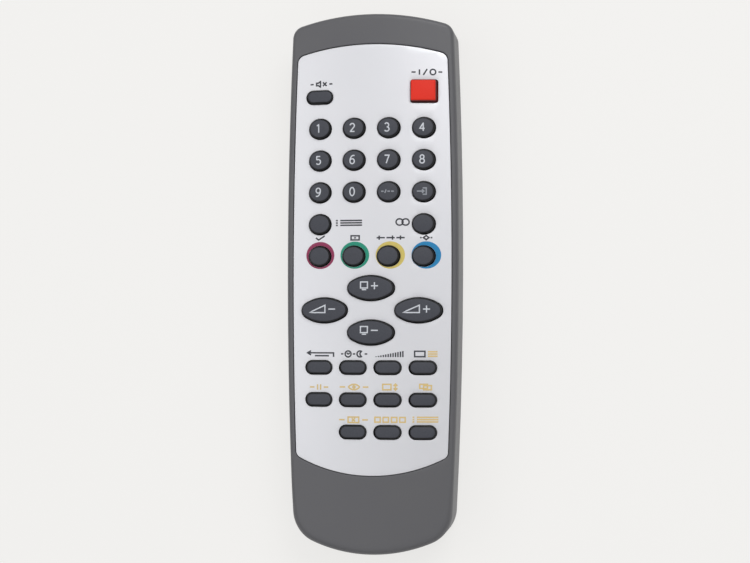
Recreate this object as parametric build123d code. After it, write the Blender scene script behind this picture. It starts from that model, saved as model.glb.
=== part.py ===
from build123d import *
import os
from math import copysign, sqrt

# A television remote control: a two-part case whose face is bowed across its width, a silver face plate
# in a window of the upper half, 35 silicone keys that come up through the plate, the board under them, and
# two AAA cells behind a cover that slides off over the tail end.
#
# Millimetres. +Y is the head end, where the infrared emitter looks out, +X is to the right as the face is
# read, and +Z is up through the face. The origin is the middle of the outline, on the surface that the
# back lies on.

# The case, seen from above
LENGTH = 170.1
HALF_WIDTH = 27.35  # where the long sides bow out the most
SIDE_BOW, SIDE_BOW_Y = 1600.0, 8.0  # radius of the long sides, and where they are widest
HEAD_ARC, HEAD_CORNER = 87.0, 4.0
TAIL_ARC, TAIL_CORNER = 49.5, 10.5

# The case, in section
HEIGHT = 22.0  # along the middle of the face
ABOVE = HEIGHT + 5.0  # higher than anything
CROWN = 120.0  # radius of the face across the width
SPLIT = 10.0  # height of the joint between the two halves
WALL = 1.8
FACE_WALL = 2.0
SHOULDER = 1.2  # bevel between the face and the side walls
REAR_EDGE = 3.5  # rounding between the back and the side walls
TONGUE, TONGUE_INSET, LAP_GAP = 1.2, 0.95, 0.1  # the lap joint of the two halves

# The face plate and its window
PLATE_HALF_WIDTH, PLATE_BOW, PLATE_BOW_Y = 25.2, 1610.0, 6.0
PLATE_HEAD_Y, PLATE_HEAD_ARC, PLATE_HEAD_CORNER = 75.3, 87.3, 2.6
PLATE_TAIL_Y, PLATE_TAIL_ARC, PLATE_TAIL_CORNER = -60.3, 51.0, 2.3
PLATE_SINK = 0.15  # how far the plate lies below the case's own face
PLATE_RIM = 1.0  # thickness of the rim that rests on the window's ledge
LEDGE = 1.2
PLATE_GAP = 0.25

# The keys
COLUMN_PITCH, ROW_PITCH = 11.0, 10.09
NUMBER_TOP_Y = 48.87  # the row of 1 to 4
LOWER_TOP_Y = -26.43  # the first of the three lower rows
POWER_Y = 60.42
CROSS_Y, CROSS_X, CROSS_HALF_HEIGHT = -8.49, 14.94, 6.97  # the four keys of the cross
ROUND_KEY = (6.85, 6.1, 3.85)  # a little wider than tall; with the radius of its upper and lower sides
OBLONG_KEY = (8.25, 3.95)
OVAL_KEY = (14.6, 7.6, 11.6)  # with the radius of its long sides
SQUARE_KEY = (8.05, 6.75, 1.0)  # with its corner radius
KEY_GAP = 0.3  # all round, in the plate's opening
KEY_RISE = {"round": 1.3, "oblong": 1.2, "oval": 1.5, "square": 1.9}  # above the plate
KEY_ARCH = {"round": 18.0, "oblong": 24.0, "oval": 60.0, "square": 30.0}  # the top's radius across
KEY_TRAVEL = 1.0
FLANGE, FLANGE_DEPTH = 0.6, 0.5  # the lip that keeps a key under the plate
OVAL_LIP = 8.0  # length of the lip along an oval key's long sides
STEM = 3.0  # square stem that carries the carbon pad
PRESS_GAP = 0.05  # left when a key is pressed home

# The board and the sheet of silicone on it
BOARD_BOTTOM, BOARD_THICK = 13.8, 1.2
BOARD_HALF_WIDTH, BOARD_TAIL_Y, BOARD_HEAD_Y, BOARD_CORNER = 23.4, -52.5, 74.0, 3.0
MAT_THICK, MAT_HALF_WIDTH, MAT_TAIL_Y, MAT_HEAD_Y = 1.0, 23.0, -51.5, 67.5
MAT_OPENING = STEM + 0.8
SLOT_GAP = 0.15  # round the strips and leads that go through the bay's roof and the board

# The battery bay, its cells and its cover
CELL_RADIUS, CELL_LENGTH, CELL_NUB_RADIUS, CELL_NUB = 5.1, 44.5, 1.9, 1.0
CELL_X, CELL_Z = 5.35, 7.1
BAY_HALF_WIDTH, BAY_TAIL_Y, BAY_HEAD_Y = 10.9, -72.0, -21.5
BAY_ROOF, BAY_WALL = 12.6, 1.0
RIDGE_WIDTH, RIDGE_BOTTOM, RIDGE_TAIL_Y, RIDGE_HEAD_Y = 3.6, 9.2, -66.0, -28.0
COVER_HALF_WIDTH, COVER_HEAD_Y, COVER_THICK = 17.0, -17.0, 1.7
COVER_RAIL, RAIL_BOTTOM = 1.4, 0.95  # the tongues along the cover's sides
COVER_GAP = 0.15
COVER_END_INSET, COVER_END_BEVEL = 0.5, 1.6  # the cover's end stays inside the rounding of the case
FLOOR_TOP, FLOOR_HALF_WIDTH = 3.4, 20.5
GRIP_COUNT, GRIP_PITCH, GRIP_WIDTH, GRIP_DEPTH = 6, 2.0, 14.0, 0.6
GRIP_HEAD_Y = COVER_HEAD_Y - 5.5

# The battery contacts
CONTACT_THICK, CONTACT_WIDTH, CONTACT_HEIGHT = 0.3, 8.4, 8.0
STRIP_WIDTH = 2.2  # strip that is soldered in the board
LEAF_REACH, LEAF_ROOT, LEAF_TIP = 4.6, 0.9, 1.2  # how far a leaf leans out, and its thickness along Y

# Fasteners
SCREW_X, SCREW_Y = 15.0, -64.0
SCREW_RADIUS, SCREW_LENGTH, HEAD_RADIUS, HEAD_HEIGHT = 1.1, 8.0, 2.2, 1.5
SCREW_SEAT = 4.0  # height of the face that the screw head pulls on
SCREW_GAP, HEAD_GAP = 0.15, 0.4
BOSS_RADIUS, BOSS_MEET = 3.0, 5.4

# The parts on the board
LED_RADIUS, LED_FLANGE, LED_FLANGE_THICK, LED_LENGTH = 2.5, 2.9, 1.0, 8.6
LED_TIP_Y = LENGTH / 2 - 0.1
LED_DOME = 3.2  # radius of the rounded tip
LED_GAP = 0.1
LEAD, LEAD_PITCH = 0.5, 2.54  # square leads
LEAD_HOLE_Y = BOARD_HEAD_Y - 2.0
CHIP_WIDTH, CHIP_LENGTH, CHIP_DEPTH, CHIP_STANDOFF = 7.6, 17.8, 2.3, 0.1
CHIP_Y, CHIP_LEGS, CHIP_LEG_PITCH = 26.0, 10, 1.27
CHIP_LEG_WIDTH, CHIP_LEG_LENGTH, CHIP_LEG_DEPTH = 0.42, 1.2, 0.5
RESONATOR_X, RESONATOR_Y, RESONATOR_DEPTH = (11.0, 18.5), (40.0, 49.0), 3.4
CAPACITOR_X, CAPACITOR_Y, CAPACITOR_RADIUS, CAPACITOR_LENGTH = -11.5, 62.0, 2.5, 11.0
TRANSISTOR_X, TRANSISTOR_Y, TRANSISTOR_RADIUS, TRANSISTOR_DEPTH = 6.5, 62.0, 2.3, 4.6
TRANSISTOR_FLAT = 1.6  # from the middle to the flat side
RESISTOR_X, RESISTOR_YS, RESISTOR_SIZE = -14.0, (38.0, 42.0, 46.0), (3.2, 1.6, 0.6)

# What holds the board, the emitter and the two halves
POSTS = [(19.5, 64.0), (19.5, 2.0)]  # under the board, on both sides
POST_RADIUS, PIN_RADIUS, PIN_GAP = 2.0, 0.9, 0.15  # a pin on each post goes through the board
CLAMP_YS, CLAMP_X, CLAMP_LENGTH, CLAMP_HEIGHT = (25.0, -45.0), 22.4, 6.0, 1.3
LED_RIB_Y, LED_RIB_HALF_WIDTH, LED_RIB_THICK = 78.0, 5.0, 1.2
SNAP_YS, SNAP_LENGTH, SNAP_THICK = (40.0, -20.0), 8.0, 1.1
SNAP_TOP, SNAP_ROOT, SNAP_CATCH, SNAP_POINT, SNAP_END = 14.0, 11.6, 8.5, 8.1, 6.8  # heights
SNAP_HOLD, SNAP_GAP = 0.35, 0.15  # how far the barb reaches into the wall

BOARD_TOP = BOARD_BOTTOM + BOARD_THICK
MAT_TOP = BOARD_TOP + MAT_THICK
FLANGE_BOTTOM = MAT_TOP + KEY_TRAVEL + PRESS_GAP
STEM_BOTTOM = BOARD_TOP + KEY_TRAVEL + PRESS_GAP
CROWN_CENTRE = HEIGHT - CROWN


def sagitta(radius, half_chord):
    """How far an arc of this radius falls over half a chord."""
    return radius - sqrt(radius**2 - half_chord**2)


def bowed_face(half_width, bow, bow_y, head, tail, inset=0.0):
    """A plan outline of four arcs with rounded corners; inset draws every edge in by that much.

    The sides are widest at bow_y. head and tail are each (y of the end's middle, radius, corner radius).
    """
    half_width, bow = half_width - inset, bow - inset
    corners, middles = [], []
    for end_y, arc, _ in (head, tail):
        end_y, arc = end_y - inset * copysign(1, end_y), arc - inset
        x, y = half_width, end_y
        for _ in range(30):  # the side's x and the end's y, in turn, until they agree
            x = half_width - sagitta(bow, y - bow_y)
            y = end_y - copysign(sagitta(arc, x), end_y)
        corners.append((x, y))
        middles.append((0, end_y))
    (head_x, head_y), (tail_x, tail_y) = corners
    face = make_face(
        [
            ThreePointArc((-head_x, head_y), middles[0], (head_x, head_y)),
            ThreePointArc((head_x, head_y), (half_width, bow_y), (tail_x, tail_y)),
            ThreePointArc((tail_x, tail_y), middles[1], (-tail_x, tail_y)),
            ThreePointArc((-tail_x, tail_y), (-half_width, bow_y), (-head_x, head_y)),
        ]
    )
    face = fillet(face.vertices().group_by(Axis.Y)[-1], head[2] - inset)
    return fillet(face.vertices().group_by(Axis.Y)[0], tail[2] - inset)


def case_face(inset=0.0):
    """The case's outline."""
    head = (LENGTH / 2, HEAD_ARC, HEAD_CORNER)
    tail = (-LENGTH / 2, TAIL_ARC, TAIL_CORNER)
    return bowed_face(HALF_WIDTH, SIDE_BOW, SIDE_BOW_Y, head, tail, inset)


def plate_face(inset=0.0):
    """The face plate's outline."""
    head = (PLATE_HEAD_Y, PLATE_HEAD_ARC, PLATE_HEAD_CORNER)
    tail = (PLATE_TAIL_Y, PLATE_TAIL_ARC, PLATE_TAIL_CORNER)
    return bowed_face(PLATE_HALF_WIDTH, PLATE_BOW, PLATE_BOW_Y, head, tail, inset)


def prism(face, bottom, top):
    """A plan face carried up from one height to another."""
    return extrude(Pos(0, 0, bottom) * face, amount=top - bottom)


def under_crown(depth):
    """Everything below a surface that runs this far under the face."""
    radius, half = CROWN - depth, HALF_WIDTH + SHOULDER
    edge = CROWN_CENTRE + sqrt(radius**2 - half**2)
    profile = make_face(
        [
            Line((-half, 0), (half, 0)),
            Line((half, 0), (half, edge)),
            ThreePointArc((half, edge), (0, CROWN_CENTRE + radius), (-half, edge)),
            Line((-half, edge), (-half, 0)),
        ]
    )
    return extrude(Plane.XZ * profile, amount=LENGTH, both=True)


def block(x_range, y_range, z_range):
    """A box between two values on each axis."""
    ranges = (x_range, y_range, z_range)
    centre = Vector(*(sum(r) / 2 for r in ranges))
    return Location(centre) * Box(*(r[1] - r[0] for r in ranges))


def rod(radius, y_range, x, z):
    """A round bar along Y."""
    length = y_range[1] - y_range[0]
    return Pos(x, sum(y_range) / 2, z) * Cylinder(radius, length, rotation=(90, 0, 0))


def post(radius, z_range, x, y):
    """A round bar along Z."""
    return Pos(x, y, sum(z_range) / 2) * Cylinder(radius, z_range[1] - z_range[0])


def key_layout():
    """Every key's name, shape and place."""
    columns = [COLUMN_PITCH * step for step in (-1.5, -0.5, 0.5, 1.5)]
    rows = [
        ("round", NUMBER_TOP_Y, ["1", "2", "3", "4"]),
        ("round", NUMBER_TOP_Y - ROW_PITCH, ["5", "6", "7", "8"]),
        ("round", NUMBER_TOP_Y - 2 * ROW_PITCH, ["9", "0", "two_digit", "source"]),
        ("round", NUMBER_TOP_Y - 3 * ROW_PITCH, ["menu", None, None, "sound"]),
        ("round", NUMBER_TOP_Y - 4 * ROW_PITCH, ["red", "green", "yellow", "blue"]),
        ("oblong", LOWER_TOP_Y, ["last", "timer", "info", "teletext"]),
        ("oblong", LOWER_TOP_Y - ROW_PITCH, ["hold", "show", "zoom", "overlay"]),
        ("oblong", LOWER_TOP_Y - 2 * ROW_PITCH, [None, "clear", "subpage", "contents"]),
    ]
    keys = {
        "key_power": ("square", columns[-1], POWER_Y),
        "key_mute": ("oblong", columns[0], NUMBER_TOP_Y + ROW_PITCH),
        "key_program_up": ("oval", 0.0, CROSS_Y + CROSS_HALF_HEIGHT),
        "key_program_down": ("oval", 0.0, CROSS_Y - CROSS_HALF_HEIGHT),
        "key_volume_down": ("oval", -CROSS_X, CROSS_Y),
        "key_volume_up": ("oval", CROSS_X, CROSS_Y),
    }
    for shape, y, names in rows:
        keys.update({f"key_{n}": (shape, x, y) for n, x in zip(names, columns) if n})
    return keys


def key_face(shape, grow=0.0):
    """A key's outline, drawn out by grow; the round and oval ones are four arcs that meet in a line."""
    if shape == "oblong":
        return SlotOverall(OBLONG_KEY[0] + 2 * grow, OBLONG_KEY[1] + 2 * grow)
    if shape == "square":
        width, height, corner = SQUARE_KEY
        return RectangleRounded(width + 2 * grow, height + 2 * grow, corner + grow)
    width, height, side = ROUND_KEY if shape == "round" else OVAL_KEY
    long, short, side = width / 2 + grow, height / 2 + grow, side + grow
    end = (2 * side * short - short**2 - long**2) / (2 * (side - long))
    lens = Pos(0, side - short) * Circle(side) & Pos(0, short - side) * Circle(side)
    return fillet(lens.vertices(), end)


def lip_face(shape):
    """The outline of the lip that keeps a key under the plate; an oval key's only runs along its sides."""
    if shape == "oval":
        return Rectangle(OVAL_LIP, OVAL_KEY[1] + 2 * FLANGE)
    width, height = {"round": ROUND_KEY, "oblong": OBLONG_KEY, "square": SQUARE_KEY}[shape][:2]
    return Rectangle(width + 2 * FLANGE, height + 2 * FLANGE)


def key(shape, x, y):
    """One silicone key: a cap whose arched top leans with the face, a lip under the plate, and a stem."""
    arch = KEY_ARCH[shape]
    lean = Vector(x, 0, sqrt(CROWN**2 - x**2)).normalized()
    apex = Vector(0, y, CROWN_CENTRE) + lean * (CROWN - PLATE_SINK + KEY_RISE[shape])
    middle = apex - lean * arch
    cap = prism(Pos(x, y) * key_face(shape), FLANGE_BOTTOM, ABOVE)
    cap &= rod(arch, (y - ROW_PITCH, y + ROW_PITCH), middle.X, middle.Z)
    lip = prism(Pos(x, y) * lip_face(shape), FLANGE_BOTTOM, FLANGE_BOTTOM + FLANGE_DEPTH)
    half = STEM / 2
    stem = block((x - half, x + half), (y - half, y + half), (STEM_BOTTOM, FLANGE_BOTTOM))
    return cap + lip + stem


def face_plate():
    """The silver panel: a rim that rests on the ledge, a thicker field, and an opening for every key."""
    rim = prism(plate_face(), SPLIT, HEIGHT) & under_crown(PLATE_SINK)
    rim -= under_crown(PLATE_SINK + PLATE_RIM)
    field = prism(plate_face(LEDGE + PLATE_GAP), SPLIT, HEIGHT) & under_crown(PLATE_SINK + PLATE_RIM)
    field -= under_crown(FACE_WALL)
    openings = [
        prism(Pos(x, y) * key_face(shape, KEY_GAP), SPLIT, HEIGHT) for shape, x, y in key_layout().values()
    ]
    return rim + field - openings


def led_hole():
    """The emitter's way through the rib and the head end, half in each half of the case."""
    return rod(LED_RADIUS + LED_GAP, (LED_RIB_Y - LED_RIB_THICK, LENGTH / 2 + WALL), 0, SPLIT)


def inner_wall(y):
    """Half the clear width inside the case."""
    return HALF_WIDTH - sagitta(SIDE_BOW, y - SIDE_BOW_Y) - WALL


def snap_hook(side, y):
    """A hook on the upper half's wall: an arm that hangs inside the joint, with a barb that points outwards."""
    wall = inner_wall(y)
    arm = wall - SNAP_GAP
    profile = Polyline(
        (wall - SNAP_THICK, SNAP_TOP),
        (wall + WALL / 4, SNAP_TOP),
        (wall + WALL / 4, SNAP_ROOT),
        (arm, SNAP_ROOT),
        (arm, SNAP_CATCH),
        (wall + SNAP_HOLD, SNAP_POINT),
        (arm, SNAP_END),
        (wall - SNAP_THICK, SNAP_END),
        close=True,
    )
    hook = Pos(0, y) * extrude(Plane.XZ * make_face(profile), amount=SNAP_LENGTH / 2, both=True)
    return hook if side > 0 else mirror(hook, Plane.YZ)


def snap_pocket(side, y):
    """The pocket in the lower half's wall that a hook's barb springs into."""
    wall = inner_wall(y)
    half = SNAP_LENGTH / 2 + SNAP_GAP
    x_range = sorted((side * (wall - WALL / 4), side * (wall + SNAP_HOLD + SNAP_GAP)))
    return block(x_range, (y - half, y + half), (SNAP_END - SNAP_GAP, SNAP_CATCH + SNAP_GAP))


def led_rib(bottom, top):
    """Half of the rib that the emitter's flange sits behind."""
    y_range = (LED_RIB_Y - LED_RIB_THICK / 2, LED_RIB_Y + LED_RIB_THICK / 2)
    return block((-LED_RIB_HALF_WIDTH, LED_RIB_HALF_WIDTH), y_range, (bottom, top))


def front_case():
    """The upper half: side walls, the head and tail panels of the face, and the window with its ledge."""
    shell = prism(case_face(), SPLIT, ABOVE) & under_crown(0)
    shell = chamfer(shell.faces().sort_by(Axis.Z)[-1].edges(), SHOULDER)
    shell -= prism(case_face(WALL), SPLIT, HEIGHT) & under_crown(FACE_WALL)
    shell -= prism(plate_face(LEDGE), SPLIT, ABOVE)
    shell -= prism(plate_face(-PLATE_GAP), SPLIT, ABOVE) - under_crown(PLATE_SINK + PLATE_RIM)
    shell -= prism(case_face(TONGUE_INSET - LAP_GAP), SPLIT, SPLIT + TONGUE + LAP_GAP)
    for side in (-1, 1):
        x = side * SCREW_X
        shell += post(BOSS_RADIUS, (BOSS_MEET, HEIGHT), x, SCREW_Y) & under_crown(FACE_WALL / 2)
        shell -= post(SCREW_RADIUS, (BOSS_MEET, SCREW_SEAT + SCREW_LENGTH), x, SCREW_Y)
        for y in CLAMP_YS:
            x_range = sorted((side * CLAMP_X, side * (inner_wall(y) + WALL / 4)))
            y_range = (y - CLAMP_LENGTH / 2, y + CLAMP_LENGTH / 2)
            shell += block(x_range, y_range, (MAT_TOP, MAT_TOP + CLAMP_HEIGHT))
        shell += [snap_hook(side, y) for y in SNAP_YS]
    shell += led_rib(SPLIT, HEIGHT) & under_crown(FACE_WALL / 2)
    return shell - led_hole()


def rear_case():
    """The lower half: a rounded tray with the battery bay, the cover's channel and the board's posts."""
    shell = prism(case_face(), 0, SPLIT)
    shell = fillet(shell.faces().sort_by(Axis.Z)[0].edges(), REAR_EDGE)
    outer = shell
    shell -= prism(case_face(WALL), WALL, SPLIT)
    shell += prism(case_face(TONGUE_INSET), SPLIT, SPLIT + TONGUE) - prism(case_face(WALL), SPLIT, SPLIT + TONGUE)
    floor_head = COVER_HEAD_Y + WALL
    floor = block((-FLOOR_HALF_WIDTH, FLOOR_HALF_WIDTH), (-LENGTH / 2, floor_head), (0, FLOOR_TOP)) & outer
    bay_out = BAY_HALF_WIDTH + BAY_WALL
    bay = block(
        (-bay_out, bay_out),
        (BAY_TAIL_Y - BAY_WALL, BAY_HEAD_Y + BAY_WALL),
        (FLOOR_TOP / 2, BAY_ROOF + BAY_WALL),
    )
    shell += [floor, bay]
    for side in (-1, 1):
        shell += post(BOSS_RADIUS, (FLOOR_TOP / 2, BOSS_MEET), side * SCREW_X, SCREW_Y)
        for x, y in POSTS:
            shell += post(POST_RADIUS, (WALL / 2, BOARD_BOTTOM), side * x, y)
            shell += post(PIN_RADIUS, (WALL, BOARD_TOP - PIN_GAP), side * x, y)
        shell -= [snap_pocket(side, y) for y in SNAP_YS]
    shell += led_rib(WALL / 2, SPLIT)
    shell -= block((-BAY_HALF_WIDTH, BAY_HALF_WIDTH), (BAY_TAIL_Y, BAY_HEAD_Y), (0, BAY_ROOF))
    shell += bay_ridge()
    shell -= cover_section(COVER_GAP)
    for side in (-1, 1):
        x = side * SCREW_X
        shell -= post(HEAD_RADIUS + HEAD_GAP, (0, SCREW_SEAT), x, SCREW_Y)
        shell -= post(SCREW_RADIUS + SCREW_GAP, (SCREW_SEAT, BOSS_MEET), x, SCREW_Y)
        shell -= contact_strip(side * CELL_X, SLOT_GAP)
    return shell - led_hole()


def bay_ridge():
    """The ridge on the bay's roof that keeps the two cells apart."""
    half = RIDGE_WIDTH / 2
    profile = Polyline((-half, BAY_ROOF), (0, RIDGE_BOTTOM), (half, BAY_ROOF), close=True)
    length = RIDGE_HEAD_Y - RIDGE_TAIL_Y
    return Pos(0, (RIDGE_HEAD_Y + RIDGE_TAIL_Y) / 2) * extrude(
        Plane.XZ * make_face(profile), amount=length / 2, both=True
    )


def cover_section(grow=0.0):
    """The cover's section, the same all along: a plate with a tongue down each side.

    Drawn out by grow, it is the channel of the rear case, open at the tail end.
    """
    half, rail = COVER_HALF_WIDTH + grow, COVER_HALF_WIDTH + COVER_RAIL + grow
    top = COVER_THICK + grow
    y_range = (-LENGTH / 2 - 1, COVER_HEAD_Y + grow)
    plate = block((-half, half), y_range, (-grow, top))
    return plate + block((-rail, rail), y_range, (RAIL_BOTTOM - grow, top))


def battery_cover():
    """The sliding cover, whose bevelled tail end carries on the outline of the case."""
    outer = prism(case_face(COVER_END_INSET), 0, SPLIT)
    outer = chamfer(outer.faces().sort_by(Axis.Z)[0].edges(), COVER_END_BEVEL)
    cover = cover_section() & outer
    for step in range(GRIP_COUNT):
        y = GRIP_HEAD_Y - step * GRIP_PITCH
        cover -= block((-GRIP_WIDTH / 2, GRIP_WIDTH / 2), (y - GRIP_PITCH / 2, y), (0, GRIP_DEPTH))
    return cover


def keypad_mat():
    """The sheet of silicone on the board, open under every key for its stem."""
    middle_y = (MAT_TAIL_Y + MAT_HEAD_Y) / 2
    sheet = Pos(0, middle_y) * RectangleRounded(2 * MAT_HALF_WIDTH, MAT_HEAD_Y - MAT_TAIL_Y, BOARD_CORNER)
    holes = [Pos(x, y) * Rectangle(MAT_OPENING, MAT_OPENING) for _, x, y in key_layout().values()]
    return prism(sheet - holes, BOARD_TOP, MAT_TOP)


def circuit_board():
    """The board, with slots for the contact strips and holes for the posts' pins and the emitter's leads."""
    middle_y = (BOARD_TAIL_Y + BOARD_HEAD_Y) / 2
    outline = RectangleRounded(2 * BOARD_HALF_WIDTH, BOARD_HEAD_Y - BOARD_TAIL_Y, BOARD_CORNER)
    board = prism(Pos(0, middle_y) * outline, BOARD_BOTTOM, BOARD_TOP)
    for side in (-1, 1):
        board -= contact_strip(side * CELL_X, SLOT_GAP)
        board -= [post(PIN_RADIUS + PIN_GAP, (BOARD_BOTTOM, BOARD_TOP), side * x, y) for x, y in POSTS]
    return board - led_leads(SLOT_GAP)


def infrared_led():
    """The 5 mm emitter: a round dome, a flange, and two leads that turn up to the board."""
    back_y = LED_TIP_Y - LED_LENGTH
    shoulder_y = LED_TIP_Y - sagitta(LED_DOME, LED_RADIUS)
    body = rod(LED_RADIUS, (shoulder_y, LED_TIP_Y), 0, SPLIT) & Pos(0, LED_TIP_Y - LED_DOME, SPLIT) * Sphere(LED_DOME)
    body += rod(LED_RADIUS, (back_y, shoulder_y), 0, SPLIT)
    return body + rod(LED_FLANGE, (back_y, back_y + LED_FLANGE_THICK), 0, SPLIT) + led_leads()


def led_leads(grow=0.0):
    """The emitter's two leads; drawn out by grow, what they leave free in the board."""
    leads, half = [], LEAD / 2 + grow
    for x in (-LEAD_PITCH / 2, LEAD_PITCH / 2):
        x_range = (x - half, x + half)
        leads.append(block(x_range, (LEAD_HOLE_Y, LED_TIP_Y - LED_LENGTH), (SPLIT - half, SPLIT + half)))
        leads.append(block(x_range, (LEAD_HOLE_Y - half, LEAD_HOLE_Y + half), (SPLIT - half, BOARD_TOP + grow)))
    return leads


def controller_chip():
    """The controller in its flat package, with a row of legs down each side."""
    half = CHIP_WIDTH / 2
    top = BOARD_BOTTOM - CHIP_STANDOFF
    body = block((-half, half), (CHIP_Y - CHIP_LENGTH / 2, CHIP_Y + CHIP_LENGTH / 2), (top - CHIP_DEPTH, top))
    reach = half + CHIP_LEG_LENGTH
    for leg in range(CHIP_LEGS):
        y = CHIP_Y + (leg - (CHIP_LEGS - 1) / 2) * CHIP_LEG_PITCH
        y_range = (y - CHIP_LEG_WIDTH / 2, y + CHIP_LEG_WIDTH / 2)
        for x_range in ((-reach, -half), (half, reach)):
            body += block(x_range, y_range, (BOARD_BOTTOM - CHIP_LEG_DEPTH, BOARD_BOTTOM))
    return body


def resonator():
    """The ceramic resonator, a small sealed block on its side."""
    return block(RESONATOR_X, RESONATOR_Y, (BOARD_BOTTOM - RESONATOR_DEPTH, BOARD_BOTTOM))


def capacitor():
    """The electrolytic capacitor, lying across the board."""
    place = Pos(CAPACITOR_X, CAPACITOR_Y, BOARD_BOTTOM - CAPACITOR_RADIUS)
    return place * Cylinder(CAPACITOR_RADIUS, CAPACITOR_LENGTH, rotation=(0, 90, 0))


def driver_transistor():
    """The transistor that drives the emitter: a round body with one flat side."""
    width, depth = 2 * TRANSISTOR_RADIUS, TRANSISTOR_RADIUS + TRANSISTOR_FLAT
    profile = Circle(TRANSISTOR_RADIUS) & Pos(0, depth / 2 - TRANSISTOR_FLAT) * Rectangle(width, depth)
    return prism(Pos(TRANSISTOR_X, TRANSISTOR_Y) * profile, BOARD_BOTTOM - TRANSISTOR_DEPTH, BOARD_BOTTOM)


def resistors():
    """Three surface-mounted resistors in a row, each its own solid."""
    chip = Box(*RESISTOR_SIZE)
    return Compound([Pos(RESISTOR_X, y, BOARD_BOTTOM - RESISTOR_SIZE[2] / 2) * chip for y in RESISTOR_YS])


def cell(x, nub_end):
    """An AAA cell with its nub towards the head (1) or the tail (-1)."""
    middle = (BAY_TAIL_Y + BAY_HEAD_Y) / 2
    tip = middle + nub_end * ((BAY_HEAD_Y - BAY_TAIL_Y) / 2 - CONTACT_THICK)
    shoulder = tip - nub_end * CELL_NUB
    base = tip - nub_end * CELL_LENGTH
    can = rod(CELL_RADIUS, sorted((base, shoulder)), x, CELL_Z)
    return can + rod(CELL_NUB_RADIUS, sorted((shoulder, tip)), x, CELL_Z)


def contact_plate(x, end, width=CONTACT_WIDTH):
    """A flat spring-steel plate against an end wall of the bay; end is 1 at the head and -1 at the tail."""
    wall = BAY_HEAD_Y if end > 0 else BAY_TAIL_Y
    return block(
        (x - width / 2, x + width / 2),
        sorted((wall, wall - end * CONTACT_THICK)),
        (CELL_Z - CONTACT_HEIGHT / 2, CELL_Z + CONTACT_HEIGHT / 2),
    )


def contact_leaf(x, end):
    """A leaf that leans out from its plate to press on a cell's flat end."""
    wall = BAY_HEAD_Y if end > 0 else BAY_TAIL_Y
    inner = wall - end * CONTACT_THICK
    low, high = CELL_Z - CONTACT_HEIGHT / 2, CELL_Z + CONTACT_HEIGHT / 2
    reach = inner - end * LEAF_REACH
    profile = make_face(
        Polyline(
            (inner, low),
            (reach, CELL_Z),
            (inner, high),
            (inner, high - LEAF_ROOT),
            (reach + end * LEAF_TIP, CELL_Z),
            (inner, low + LEAF_ROOT),
            close=True,
        )
    )
    return Pos(x, 0, 0) * extrude(Plane.YZ * profile, amount=STRIP_WIDTH, both=True)


def contact_strip(x, grow=0.0):
    """The strip from a head-end plate up into the board; drawn out by grow, the slot that it goes through."""
    half = STRIP_WIDTH / 2 + grow
    y_range = (BAY_HEAD_Y - CONTACT_THICK - grow, BAY_HEAD_Y + grow)
    return block((x - half, x + half), y_range, (CELL_Z, BOARD_TOP + grow))


def case_screws():
    """The two self-tapping screws that hold the halves together."""
    screws = []
    for side in (-1, 1):
        x = side * SCREW_X
        head = post(HEAD_RADIUS, (SCREW_SEAT - HEAD_HEIGHT, SCREW_SEAT), x, SCREW_Y)
        screws.append(head + post(SCREW_RADIUS, (SCREW_SEAT, SCREW_SEAT + SCREW_LENGTH), x, SCREW_Y))
    return Compound(screws)


def all_parts():
    """Every node's name with its solid."""
    parts = {
        "front_case": front_case(),
        "face_plate": face_plate(),
        "rear_case": rear_case(),
        "battery_cover": battery_cover(),
        "keypad_mat": keypad_mat(),
        "circuit_board": circuit_board(),
        "infrared_led": infrared_led(),
        "controller_chip": controller_chip(),
        "resonator": resonator(),
        "capacitor": capacitor(),
        "driver_transistor": driver_transistor(),
        "resistors": resistors(),
        "battery_1": cell(-CELL_X, 1),
        "battery_2": cell(CELL_X, -1),
        "battery_contact_positive": contact_plate(-CELL_X, 1) + contact_strip(-CELL_X),
        "battery_contact_negative": contact_plate(CELL_X, 1) + contact_strip(CELL_X) + contact_leaf(CELL_X, 1),
        "battery_contact_link": contact_plate(0, -1, 2 * CELL_X + CONTACT_WIDTH) + contact_leaf(-CELL_X, -1),
        "case_screws": case_screws(),
    }
    parts.update({name: key(*place) for name, place in key_layout().items()})
    return parts


os.makedirs("parts", exist_ok=True)
for name, solid in all_parts().items():
    export_step(solid, f"parts/{name}.step")
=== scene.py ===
import bmesh
import bpy
import numpy as np
from mathutils import Matrix, Vector
from mathutils.geometry import delaunay_2d_cdt


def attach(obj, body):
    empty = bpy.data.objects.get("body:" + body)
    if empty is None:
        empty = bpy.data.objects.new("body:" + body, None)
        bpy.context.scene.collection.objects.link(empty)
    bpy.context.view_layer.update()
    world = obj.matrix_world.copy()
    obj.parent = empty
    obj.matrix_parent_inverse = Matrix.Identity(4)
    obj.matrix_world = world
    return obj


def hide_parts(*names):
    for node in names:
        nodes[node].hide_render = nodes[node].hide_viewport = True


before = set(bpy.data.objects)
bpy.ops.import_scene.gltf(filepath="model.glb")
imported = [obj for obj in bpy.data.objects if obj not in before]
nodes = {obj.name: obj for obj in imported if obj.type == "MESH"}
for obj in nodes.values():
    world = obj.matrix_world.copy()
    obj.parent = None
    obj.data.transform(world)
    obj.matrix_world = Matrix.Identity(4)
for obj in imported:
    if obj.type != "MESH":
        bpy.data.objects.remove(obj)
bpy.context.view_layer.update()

# Camera. The handset is photographed from above on white paper with a long lens that stands over its right
# side, a little below the middle, so its right-hand wall shows and its keys lean to the left.
MM = 0.001
PHOTO_WIDTH = 750
FOCAL_PIXELS = 1614
CAMERA_PLACE = np.array([76.0, -17.2, 521.85]) * MM
YAW, PITCH, ROLL = np.radians([8.49, 2.0, 0.12])

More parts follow.
